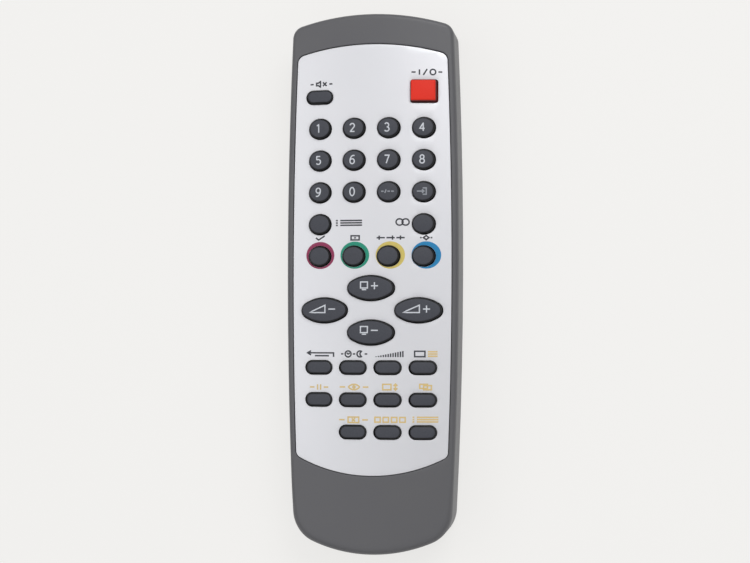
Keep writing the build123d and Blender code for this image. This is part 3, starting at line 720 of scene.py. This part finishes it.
LINES = (-0.75, 0.0, 0.75)
LIST_MARK = [[(-2.8, y), (4.2, y)] for y in LINES] + [[(-4.2, y), (-3.6, y)] for y in LINES]
DARK_MARKS = {  # beside which key: place on the plate, and the mark's strokes about it
    "mute": (
        (-16.1, 63.1),
        [[(-1.6, -0.4), (-1, -0.4), (-0.3, -0.9), (-0.3, 0.9), (-1, 0.4), (-1.6, 0.4), (-1.6, -0.4)]]
        + [[(0.5, -0.6), (1.7, 0.6)], [(0.5, 0.6), (1.7, -0.6)], *dashes(2.6, 3.6)],
    ),
    "power": (
        (17.4, 66.3),
        [[(-2.2, -0.85), (-2.2, 0.85)], [(-1, -0.95), (0.2, 0.95)], bow(2.0, 0, 0.85, 0.85)]
        + [[(-4.7, 0), (-3.4, 0)], [(3.7, 0), (4.9, 0)]],
    ),
    "menu": ((-7.0, 18.95), LIST_MARK),
    "sound": ((10.0, 19.1), [bow(-0.95, 0, 1.1, 1.0), bow(0.95, 0, 1.1, 1.0)]),
    "red": ((-16.35, 14.3), [[(-1.4, 0.05), (-0.5, -0.65), (1.5, 0.65)]]),
    "green": ((-5.0, 14.2), [outlined(0, 0, 2.6, 1.3), [(-0.3, 0), (0.3, 0)]]),
    "yellow": (
        (6.25, 14.2),
        [[(x - 1.3, 0), (x + 1.3, 0)] for x in (-3.1, 0, 3.1)]
        + [[(x, -0.65), (x, 0.65)] for x in (-3.6, 0.6, 3.1)],
    ),
    "blue": ((17.35, 14.2), [[(0, -0.65), (0.85, 0), (0, 0.65), (-0.85, 0), (0, -0.65)], *dashes(1.4, 1.9)]),
    "last": (
        (-16.15, -22.3),
        [[(4.3, -0.9), (4.3, 0.35), (-4.2, 0.35)], [(-3.1, 1.0), (-4.3, 0.35), (-3.1, -0.3)]]
        + [[(-1.8, -0.55), (2.8, -0.55)]],
    ),
    "timer": (
        (-5.25, -22.25),
        [bow(-1.9, 0, 0.95, 0.95), [(-2.35, 0.35), (-1.9, -0.05), (-1.35, 0.25)]]
        + [bow(1.9, 0, 0.95, 0.95, 48, 312), bow(2.65, 0, 0.75, 0.8, 245, 115), [(-0.4, 0), (0.4, 0)]]
        + dashes(3.4, 4.2),
    ),
    "info": ((5.95, -22.25), [[(x, -0.95), (x, 0.1 + 0.2 * x)] for x in np.linspace(-4.2, 4.2, 12)]),
    "teletext": ((15.4, -22.2), [outlined(0, 0, 3.2, 1.7)]),
}
OCHRE_MARKS = {
    "teletext": ((19.4, -22.2), [[(-1.5, y), (1.5, y)] for y in (-0.7, 0.0, 0.7)]),
    "hold": ((-16.55, -32.7), [[(x, -0.85), (x, 0.85)] for x in (-0.5, 0.5)] + dashes(1.5, 3)),
    "show": (
        (-5.25, -32.6),
        [bow(0, -1.25, 2.2, 2.1, 35, 145), bow(0, 1.25, 2.2, 2.1, 215, 325), bow(0, 0, 0.35, 0.35)]
        + dashes(2.8, 4.6),
    ),
    "zoom": (
        (6.15, -32.55),
        [outlined(-1, 0, 2.6, 1.7), [(1.7, -0.9), (1.7, 0.9)]]
        + [[(1.1, side * 0.35), (1.7, side * 0.95), (2.3, side * 0.35)] for side in (-1, 1)],
    ),
    "overlay": ((17.2, -32.5), [outlined(-0.6, 0.2, 2.4, 1.3), outlined(0.6, -0.2, 2.4, 1.3)]),
    "clear": (
        (-5.4, -42.85),
        [outlined(0, 0, 3.4, 1.7), [(-0.5, -0.5), (0.5, 0.5)], [(-0.5, 0.5), (0.5, -0.5)], *dashes(2.8, 4.6)],
    ),
    "subpage": ((6.15, -42.75), [outlined(x, 0, 1.7, 1.5) for x in (-3.9, -1.3, 1.3, 3.9)]),
    "contents": ((17.15, -42.65), [np.array(stroke) * 0.95 for stroke in LIST_MARK]),
}
for name, code, marks in (("dark", "#3c3d44", DARK_MARKS), ("ochre", "#e0c485", OCHRE_MARKS)):
    strokes = [np.array(stroke) + place for place, drawn in marks.values() for stroke in drawn]
    print_piece = mesh_piece(f"marks_{name}", *ink_mesh(strokes, plate_height), ink(f"pad_ink_{name}", code))
    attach(print_piece, "case")

# Keys. They are silicone rubber, compression moulded and matt, in dark blue-grey, with red for the power key.
# Each top is arched across, leans with the face and has a soft edge; below it are a lip and a square stem.
KEY_TOPS = {  # rise over the plate, radius across, radius lengthwise, rounding of the edge
    "round": (1.3, 18.0, 22.0, 0.55),
    "oval": (1.5, 60.0, 34.0, 0.55),
    "oblong": (1.2, 24.0, 16.0, 0.55),
    "square": (1.9, 30.0, 40.0, 0.5),
}
SQUARE_DRAFT = 0.12  # how far the power key's wall leans in above the plate
LIP, LIP_TOP, LIP_BOTTOM, STEM_HALF, STEM_BOTTOM = 0.6, 17.55, 17.05, 1.5, 16.05


def key_height(shape, x, y, key_x, key_y):
    """Height of a key's top: an arc across that leans with the crown, and a parabola lengthwise."""
    rise, arch, dome, _ = KEY_TOPS[shape]
    lean = np.array([key_x, np.sqrt(CROWN**2 - key_x**2)]) / CROWN
    middle = np.array([0.0, HEIGHT - CROWN]) + lean * (CROWN - PLATE_SINK + rise - arch)
    return middle[1] + np.sqrt(arch**2 - (x - middle[0]) ** 2) - (y - key_y) ** 2 / (2 * dome)


def key_mesh(shape, key_x, key_y):
    """A key as one closed grid: its top from the middle outwards, the rounded edge, wall, lip and stem."""
    edge, draft, place = KEY_TOPS[shape][3], SQUARE_DRAFT if shape == "square" else 0.0, (key_x, key_y)
    drawn_in = key_outline(shape, -edge - draft)
    tops = [(drawn_in * share, 0.0) for share in np.linspace(0, 1, 14)]
    for angle in np.linspace(0, np.pi / 2, 8)[1:]:
        tops.append((key_outline(shape, -edge * (1 - np.sin(angle)) - draft), edge * (1 - np.cos(angle))))
    rows = [lifted(top + place, key_height(shape, *(top + place).T, *place) - drop) for top, drop in tops]
    outline = key_outline(shape)
    wall = outline + place
    lip = key_outline(shape, LIP if shape != "oval" else 0.0) + place
    stem = outline / np.abs(outline).max(1, keepdims=True) * STEM_HALF
    rows += [crowned(wall, PLATE_SINK), lifted(wall, LIP_TOP)]
    rows += [lifted(lip, LIP_TOP), lifted(lip, LIP_BOTTOM), lifted(stem + place, LIP_BOTTOM)]
    rows += [lifted(stem + place, STEM_BOTTOM), lifted(stem * 0 + place, STEM_BOTTOM)]
    return np.concatenate(rows), grid_faces(len(rows), len(outline))


# Moulded silicone is matt and faintly mottled on the tops. The keys' steep walls are painted near black, and
# dark red on the power key, as painted shade for the gaps round the keys.
# The mould's blasted texture is drawn coarser than life, so that it shows.
soft = {"roughness": 0.55, "spread": 0.0, "patch": 0.4, "relief": 0.016, "IOR": 1.41}
soft |= {"Sheen_Weight": 0.06, "Sheen_Roughness": 0.5}
grey_silicone = finish("grey_silicone", ("#3c3e46", "#4e5058"), bare=("#050506", 0.75, 0.97), **soft)
red_silicone = finish("red_silicone", ("#e6250e", "#f03018"), bare=("#7a0e06", 0.3, 0.6), **soft)
for key, (shape, x, y) in KEYS.items():
    silicone = red_silicone if key == "power" else grey_silicone
    cap = mesh_piece("cap_" + key, *key_mesh(shape, x, y), silicone)
    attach(cap, "key_" + key)
    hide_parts("key_" + key)

# Prints on the keys. Numerals and plain marks are printed in light grey ink on the tops; they are drawn as
# single strokes of even width, and those of the keys for two digits and for the source are fainter.
NUMERAL_PLACE, NUMERAL_WIDTH = (-0.3, 0.0), 0.38
TAIL_OF_SIX = bow(0.45, -0.4, 1.15, 1.7, 180, 74)
NUMERALS = {
    "0": [bow(0, 0, 0.72, 1.3)],
    "1": [[(-0.5, 0.8), (0.1, 1.3), (0.1, -1.3)]],
    "2": [np.concatenate([bow(0, 0.6, 0.68, 0.7, 170, -38), [(-0.7, -1.3)]]), [(-0.7, -1.22), (0.75, -1.22)]],
    "3": [bow(-0.05, 0.65, 0.62, 0.65, 155, -90), bow(-0.05, -0.64, 0.74, 0.66, 90, -150)],
    "4": [[(0.35, -1.3), (0.35, 1.3)], [(0.35, 1.2), (-0.75, -0.5), (0.8, -0.5)]],
    "5": [[(0.6, 1.22), (-0.5, 1.22), (-0.55, 0.1)], bow(-0.02, -0.5, 0.74, 0.78, 130, -145)],
    "6": [bow(0, -0.52, 0.7, 0.78), TAIL_OF_SIX],
    "7": [[(-0.7, 1.22), (0.7, 1.22), (-0.2, -1.3)]],
    "8": [bow(0, 0.66, 0.58, 0.62), bow(0, -0.62, 0.7, 0.68)],
    "9": [-bow(0, -0.52, 0.7, 0.78), -TAIL_OF_SIX],
}
PLUS, MINUS = [[(-1.1, 0), (1.1, 0)], [(0, -1.1), (0, 1.1)]], [[(-1.1, 0), (1.1, 0)]]
SCREEN_MARK = [outlined(-1.9, 0.25, 2.2, 1.9), [(-2.6, -1.2), (-1.2, -1.2)]]
WEDGE_MARK = [[(-4.5, -1.1), (0.7, -1.1), (0.7, 1.2), (-4.5, -1.1)]]
ARROW_IN = [[(0.2, 1), (1.3, 1), (1.3, -1), (0.2, -1)], [(-1.6, 0), (0.5, 0)]]
ARROW_IN += [[(0, 0.55), (0.6, 0), (0, -0.55)]]
DASHES = [[(x, 0), (x + 0.8, 0)] for x in (-1.9, 0.1, 1.3)] + [[(-0.7, -0.5), (-0.3, 0.5)]]


def shifted(strokes, x, y):
    """The same strokes, moved."""
    return [np.array(stroke) + (x, y) for stroke in strokes]


key_marks = {key: (shifted(strokes, *NUMERAL_PLACE), "light") for key, strokes in NUMERALS.items()}
key_marks["two_digit"] = (shifted(DASHES, -0.2, 0), "faint")
key_marks["source"] = (shifted(ARROW_IN, -0.3, 0), "faint")
for sign, way in ((PLUS, "up"), (MINUS, "down")):
    key_marks["program_" + way] = (shifted(SCREEN_MARK + shifted(sign, 1.4, 0), 0, 0.6), "light")
    key_marks["volume_" + way] = (shifted(WEDGE_MARK + shifted(sign, 2.9, 0), -0.2, 0.3), "light")
key_inks = {"light": ink("key_ink_light", "#d2d6dd"), "faint": ink("key_ink_faint", "#989da5")}
for key, (strokes, strength) in key_marks.items():
    shape, key_x, key_y = KEYS[key]
    strokes = shifted(strokes, key_x, key_y)
    points, faces = ink_mesh(strokes, lambda x, y: key_height(shape, x, y, key_x, key_y), NUMERAL_WIDTH)
    print_piece = mesh_piece("print_" + key, points, faces, key_inks[strength])
    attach(print_piece, "key_" + key)

# Infrared emitter. It is a 5 mm lamp, cast in smoky epoxy round its two tinned leads. The halves of the case
# grip it behind their head wall, and its domed tip looks out of a round hole there.
EMITTER_BACK, EMITTER_TIP, EMITTER_RADIUS, EMITTER_DOME = 76.35, 84.95, 2.5, 3.2
EMITTER_FLANGE, FLANGE_THICK = 2.9, 1.0
LEAD, LEAD_PITCH, LEAD_START_Y, LEAD_TURN_Y, BOARD_TOP = 0.5, 2.54, 78.85, 72.0, 15.0
# Cast epoxy is glossy and nearly black, with a little violet where light gets in.
glassy = {"IOR": 1.55, "Transmission_Weight": 0.15, "Coat_Weight": 0.3}
smoky_epoxy = finish("smoky_epoxy", ("#221a2c", "#2c2238"), 0.08, 6.0, **glassy)
# Dipped tin is soft and bright, and frosty where it cooled.
tinned_copper = finish("tinned_copper", ("#c3c2bd", "#d2d1cd"), 0.35, 0.8, 0.01, Metallic=1.0)


def bent_wires(name, paths, across, width, sides=4):
    """Tinned wires along paths in planes square to across, mitred at their bends, as one piece on the case.

    Each has this many sides and flat ends. It reaches half a width times across x bisector from its path in
    the path's plane, and half a width square to it.
    """
    angle = (np.arange(sides)[:, None] + 0.5) * 2 * np.pi / sides
    radius = width / 2 / np.cos(np.pi / sides)
    parts = []
    for path in np.array(paths, float):
        rim = np.cross(across, bisectors(path))[:, None] * np.cos(angle) + across * np.sin(angle)
        points = (path[:, None] + radius * rim).reshape(-1, 3)
        parts.append((points, grid_faces(len(path), sides, capped=True)))
    wires = mesh_piece(name, *together(parts), tinned_copper)
    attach(wires, "case")


rim = EMITTER_TIP - EMITTER_DOME + np.sqrt(EMITTER_DOME**2 - EMITTER_RADIUS**2)
lean = np.linspace(np.arcsin(EMITTER_RADIUS / EMITTER_DOME), 0, 14)
places = [EMITTER_BACK, EMITTER_BACK, EMITTER_BACK + FLANGE_THICK, EMITTER_BACK + FLANGE_THICK, rim]
places = np.concatenate([places, EMITTER_TIP - EMITTER_DOME * (1 - np.cos(lean[1:]))])
radii = [0.0, EMITTER_FLANGE, EMITTER_FLANGE, EMITTER_RADIUS, EMITTER_RADIUS]
radii = np.concatenate([radii, EMITTER_DOME * np.sin(lean[1:])])
emitter = mesh_piece("emitter_lens", *turned((places, radii), (0, 0, SPLIT), 1), smoky_epoxy)
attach(emitter, "case")
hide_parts("infrared_led")
lead_paths = [
    [(x, LEAD_START_Y, SPLIT), (x, LEAD_TURN_Y, SPLIT), (x, LEAD_TURN_Y, BOARD_TOP)]
    for x in (-LEAD_PITCH / 2, LEAD_PITCH / 2)
]
bent_wires("emitter_leads", lead_paths, (1, 0, 0), LEAD)

# Keypad mat and board. The mat is a sheet of the keys' own silicone. The board under it is paper bonded with
# phenolic resin, bare and brown below, with green solder resist and a carbon contact for each key above.
PAD_REACH, TOOTH_REACH, PAD_PITCH, PAD_LINE = 1.4, 0.7, 0.7, 0.32


def phenolic_board():
    """Resin-bonded paper: brown, satin and faintly fibrous, and glossy green where the resist covers it."""
    made, tree = material("phenolic_board_with_resist")
    fibre_size, stretch = 0.8 * MM, (1.0, 0.25, 1.0)
    place = add(tree, "Mapping", {"Vector": add(tree, "TexCoord")["Object"], "Scale": stretch})["Vector"]
    fibre = add(tree, "TexNoise", {"Vector": place, "Scale": 1 / fibre_size, "Detail": 5.0})["Fac"]
    paper_tone = {"Factor": fibre, "A": sheer("#765332"), "B": sheer("#8a663f")}
    brown = add(tree, "Mix", paper_tone, data_type="RGBA")["Result"]
    resist = upward(tree, 0.4, 0.6)
    by_facing = {"Factor": resist, "A": brown, "B": sheer("#1f5a3c")}
    shading = {
        "Base Color": add(tree, "Mix", by_facing, data_type="RGBA")["Result"],
        "Roughness": add(tree, "MapRange", {"Value": resist, "To Min": 0.5, "To Max": 0.25})["Result"],
        "Normal": add(tree, "Bump", {"Height": fibre, "Strength": 0.3, "Distance": 0.02 * MM})["Normal"],
        "IOR": 1.55,
    }
    return surfaced(made, shading)


for node, made in (("keypad_mat", grey_silicone), ("circuit_board", phenolic_board())):
    for material_slot in nodes[node].material_slots:
        material_slot.material = made
teeth = zip(PAD_PITCH * np.arange(-2, 3), (1, -1, 1, -1, 1))
comb = [[(x, way * PAD_REACH), (x, -way * TOOTH_REACH)] for x, way in teeth]
for way, half in ((1, PAD_REACH + PAD_LINE / 2), (-1, PAD_PITCH + PAD_LINE / 2)):
    comb.append([(-half, way * PAD_REACH), (half, way * PAD_REACH)])
combs = [stroke for _, x, y in KEYS.values() for stroke in shifted(comb, x, y)]
carbon = ink("carbon_ink", "#1d1d1f")
carbon_pads = mesh_piece("carbon_pads", *ink_mesh(combs, lambda x, y: BOARD_TOP, PAD_LINE), carbon)
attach(carbon_pads, "case")

# Parts on the board's lower side. The controller is a flat epoxy package with tinned legs, the resonator is
# dipped in orange resin, the capacitor is an aluminium can in a shrunk sleeve, the transistor is cast epoxy
# with one flat side, and the resistors are ceramic chips with tinned ends.
CHIP_HALF_WIDTH = 3.8
RESISTOR_X, RESISTOR_HALF_BODY = -14.0, 1.15
CAPACITOR_PLACE, CAN_BARE, CAN_LEAD, CAN_LEAD_PITCH = (-11.5, 62.0, 11.3), 1.85, 0.5, 2.0
LEAD_START_X, LEAD_TURN_X, LEAD_END_Z = -16.8, -18.5, 14.1  # where the can's leads begin, bend and end
CAN_PROFILE = [  # place along the can from its middle, radius; the groove crimps the can on its bung
    (-5.5, 0.0), (-5.5, 1.7), (-5.35, 2.5), (-4.0, 2.5), (-3.7, 2.2),
    (-3.4, 2.5), (5.5, 2.5), (5.5, 1.9), (5.3, 1.8), (5.3, 0.0),
]
HAIR = 0.02  # a test's margin past an edge, so that the faces on it fall to one side


def finish_by_place(piece, chosen):
    """Gives each face the material whose number the test finds for its middle's x, y and z in millimetres."""
    middles = np.empty(3 * len(piece.data.polygons))
    piece.data.polygons.foreach_get("center", middles)
    numbers = chosen(*middles.reshape(-1, 3).T / MM).astype(np.int32)
    piece.data.polygons.foreach_set("material_index", numbers)


def eased(profile, radius, steps=4):
    """A profile with rounded corners, each the curve (1 - t)^2 a + 2 t (1 - t) corner + t^2 b, where a and b
    lie this far before and after it."""
    corners = np.array(profile, float)
    share = np.linspace(0, 1, steps + 1)[:, None]
    rounded = [corners[:1]]
    for before, corner, after in zip(corners, corners[1:], corners[2:]):
        ends = []
        for side in (before, after):
            length = np.hypot(*(side - corner))
            ends.append(corner + min(radius, length / 2) / length * (side - corner))
        rounded.append((1 - share) ** 2 * ends[0] + 2 * share * (1 - share) * corner + share**2 * ends[1])
    return np.concatenate([*rounded, corners[-1:]]).T


# Transfer-moulded epoxy is matt and nearly black, with a fine grain.
black_epoxy = finish("moulded_black_epoxy", ("#232324", "#2b2b2d"), 0.55, 0.6, 0.02, IOR=1.55)
# Dipped resin sags into soft glossy waves.
orange_resin = finish("dipped_orange_resin", ("#b4652a", "#c8733a"), 0.22, 2.0, 0.12, IOR=1.5)
# The shrunk sleeve is glossy plastic film.
blue_sleeve = finish("blue_shrink_sleeve", ("#27395f", "#2f4470"), 0.25, 3.0, 0.03, IOR=1.52)
# Drawn aluminium is pale and satin.
bare_aluminium = finish("bare_aluminium", ("#b9bcc0", "#c9ccd0"), 0.35, 1.0, 0.01, Metallic=1.0)
# The resistors' glaze is dark and glassy.
chip_glaze = finish("glazed_chip_ceramic", ("#2a2622", "#35302b"), 0.3, 0.5, 0.01, IOR=1.5)

chip = smooth_copy("controller_chip", "chip_package", black_epoxy, tinned_copper, edge=0.06)
finish_by_place(chip, lambda x, y, z: np.abs(x) > CHIP_HALF_WIDTH + HAIR)
resonator = smooth_copy("resonator", "resonator_body", orange_resin, edge=0.7)
transistor = smooth_copy("driver_transistor", "transistor_body", black_epoxy, edge=0.2)
tin_starts = [RESISTOR_X - RESISTOR_HALF_BODY, RESISTOR_X + RESISTOR_HALF_BODY]
resistors = smooth_copy("resistors", "resistor_chips", chip_glaze, tinned_copper, edge=0.06, cuts=tin_starts)
finish_by_place(resistors, lambda x, y, z: np.abs(x - RESISTOR_X) > RESISTOR_HALF_BODY)
can_mesh = turned(eased(CAN_PROFILE, 0.2), CAPACITOR_PLACE, 0)
capacitor = mesh_piece("capacitor_can", *can_mesh, blue_sleeve, bare_aluminium)
_, can_y, can_z = CAPACITOR_PLACE
finish_by_place(capacitor, lambda x, y, z: np.hypot(y - can_y, z - can_z) < CAN_BARE)
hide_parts("capacitor")
for piece in (chip, resonator, transistor, resistors, capacitor):
    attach(piece, "case")
can_paths = [
    [(LEAD_START_X, y, can_z), (LEAD_TURN_X, y, can_z), (LEAD_TURN_X, y, LEAD_END_Z)]
    for y in (can_y - CAN_LEAD_PITCH / 2, can_y + CAN_LEAD_PITCH / 2)
]
bent_wires("capacitor_leads", can_paths, (0, 1, 0), CAN_LEAD, 10)

# Cells and contacts. Each AAA cell is a nickel-plated steel can in a printed film sleeve, with a nub at the
# end that its pale band marks. The contacts are pressed from nickel-plated spring steel.
CELL_X, CELL_Z, CELL_RADIUS, SLEEVE_LIP, BAND_START = 5.35, 7.1, 5.1, 4.1, 35.0
CELL_PROFILE = [  # distance from the flat end, radius
    (0.0, 0.0), (0.0, 3.9), (0.3, 4.0), (0.1, SLEEVE_LIP), (0.1, CELL_RADIUS), (BAND_START, CELL_RADIUS),
    (43.4, CELL_RADIUS), (43.4, SLEEVE_LIP), (43.1, 4.0), (43.4, 3.2), (43.5, 1.9), (44.5, 1.9), (44.5, 0.0),
]
CELLS = {  # x, y of the flat end, way to the nub
    "battery_1": (-CELL_X, -66.3, 1),
    "battery_2": (CELL_X, -27.2, -1),
}
# Nickel plate is bright and faintly yellow.
plated_steel = finish("nickel_plated_steel", ("#c4c2bb", "#d4d2cb"), 0.22, 1.2, 0.005, Metallic=1.0)
# The sleeve's film is smooth and glossy, dark with a pale band.
sleeve = finish("printed_cell_sleeve", ("#30333c", "#3a3e48"), 0.2, 8.0, 0.02, IOR=1.52, Coat_Weight=0.4)
band = finish("pale_cell_band", ("#a9adb3", "#b6bac0"), 0.2, 8.0, 0.02, IOR=1.52, Coat_Weight=0.4)
for name, (x, flat_end, way) in CELLS.items():
    along, radii = eased(CELL_PROFILE, 0.25)
    cell_mesh = turned((flat_end + way * along, radii), (x, 0, CELL_Z), 1, 64)
    cell = mesh_piece(name.replace("battery", "cell"), *cell_mesh, sleeve, plated_steel, band)

    def cell_part(px, py, pz):
        """Bare steel within the sleeve's lip, and the band near the nub."""
        banded = (py - flat_end) * way > BAND_START
        return np.where(np.hypot(px - x, pz - CELL_Z) < SLEEVE_LIP - HAIR, 1, np.where(banded, 2, 0))

    finish_by_place(cell, cell_part)
    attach(cell, "case")
    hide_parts(name)
for end in ("positive", "negative", "link"):
    contact = smooth_copy("battery_contact_" + end, "contact_" + end, plated_steel, edge=0.06)
    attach(contact, "case")

# Case screws. They are zinc-plated self-tapping screws with a pan head and a cross recess, driven from below
# under the battery cover into the bosses of the upper half.
SCREW_PLACES, SCREW_HEAD_Z, SCREW_SEAT, SCREW_TIP = ((-15.0, -64.0), (15.0, -64.0)), 2.5, 4.0, 12.0
HEAD_RADIUS, THREAD_RADIUS, THREAD_DEPTH, THREAD_PITCH = 2.2, 1.1, 0.28, 1.0
RECESS_WIDTH, RECESS_REACH, RECESS_DEPTH = 0.5, 1.25, 0.9
# Zinc plate is bluish grey, brighter where it has been rubbed.
zinc_plate = finish("zinc_plated_steel", ("#a9abae", "#bdbfc1"), 0.3, 1.0, 0.005, Metallic=1.0)


def screw_profile(around):
    """Heights and radii of a screw: an eased pan head, then a shank whose radius is the thread's root plus a
    ridge, peaked where height / pitch - angle / turn is a whole number, and a tip that tapers to a point."""
    shank, rounding, tip_length, bluntness = 0.9, 0.7, 1.5, 0.7
    pan = [(SCREW_HEAD_Z, 0), (SCREW_HEAD_Z, HEAD_RADIUS), (SCREW_SEAT, HEAD_RADIUS), (SCREW_SEAT, shank)]
    head = eased(pan, rounding)
    height = np.linspace(SCREW_SEAT, SCREW_TIP, 100)[:, None]
    turn = np.arange(around) / around
    phase = np.abs((height / THREAD_PITCH - turn) % 1.0 - 0.5)
    ridge = THREAD_RADIUS - THREAD_DEPTH * np.clip(phase * 4, 0, 1)
    taper = np.clip((SCREW_TIP - height) / tip_length, 0, 1) ** bluntness
    head_radii = np.repeat(head[1][:, None], around, 1)
    return np.concatenate([head[0], height[:, 0]]), np.concatenate([head_radii, ridge * taper])


def cross_recess(x, y):
    """A cross-shaped pit as a closed form that narrows with depth, from just below the head into it."""
    half, reach = RECESS_WIDTH / 2, RECESS_REACH
    arm = np.array([(reach, -half), (reach, half), (half, half)])
    cross = np.concatenate([arm @ [[c, s], [-s, c]] for c, s in ((1, 0), (0, 1), (-1, 0), (0, -1))])
    mouth, bottom = 1.1, 0.45
    rows = [lifted(cross * mouth, SCREW_HEAD_Z - 0.2), lifted(cross * bottom, SCREW_HEAD_Z + RECESS_DEPTH)]
    return np.concatenate(rows) + (x, y, 0), grid_faces(2, len(cross), capped=True)


for name, (x, y) in zip(("screw_left", "screw_right"), SCREW_PLACES):
    screw_mesh = turned(screw_profile(32), (x, y, 0), 2, 32)
    screw = mesh_piece(name, *screw_mesh, zinc_plate, smooth_angle=40)
    carve(screw, *cross_recess(x, y), smooth_angle=40)
    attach(screw, "case")
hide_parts("case_screws")
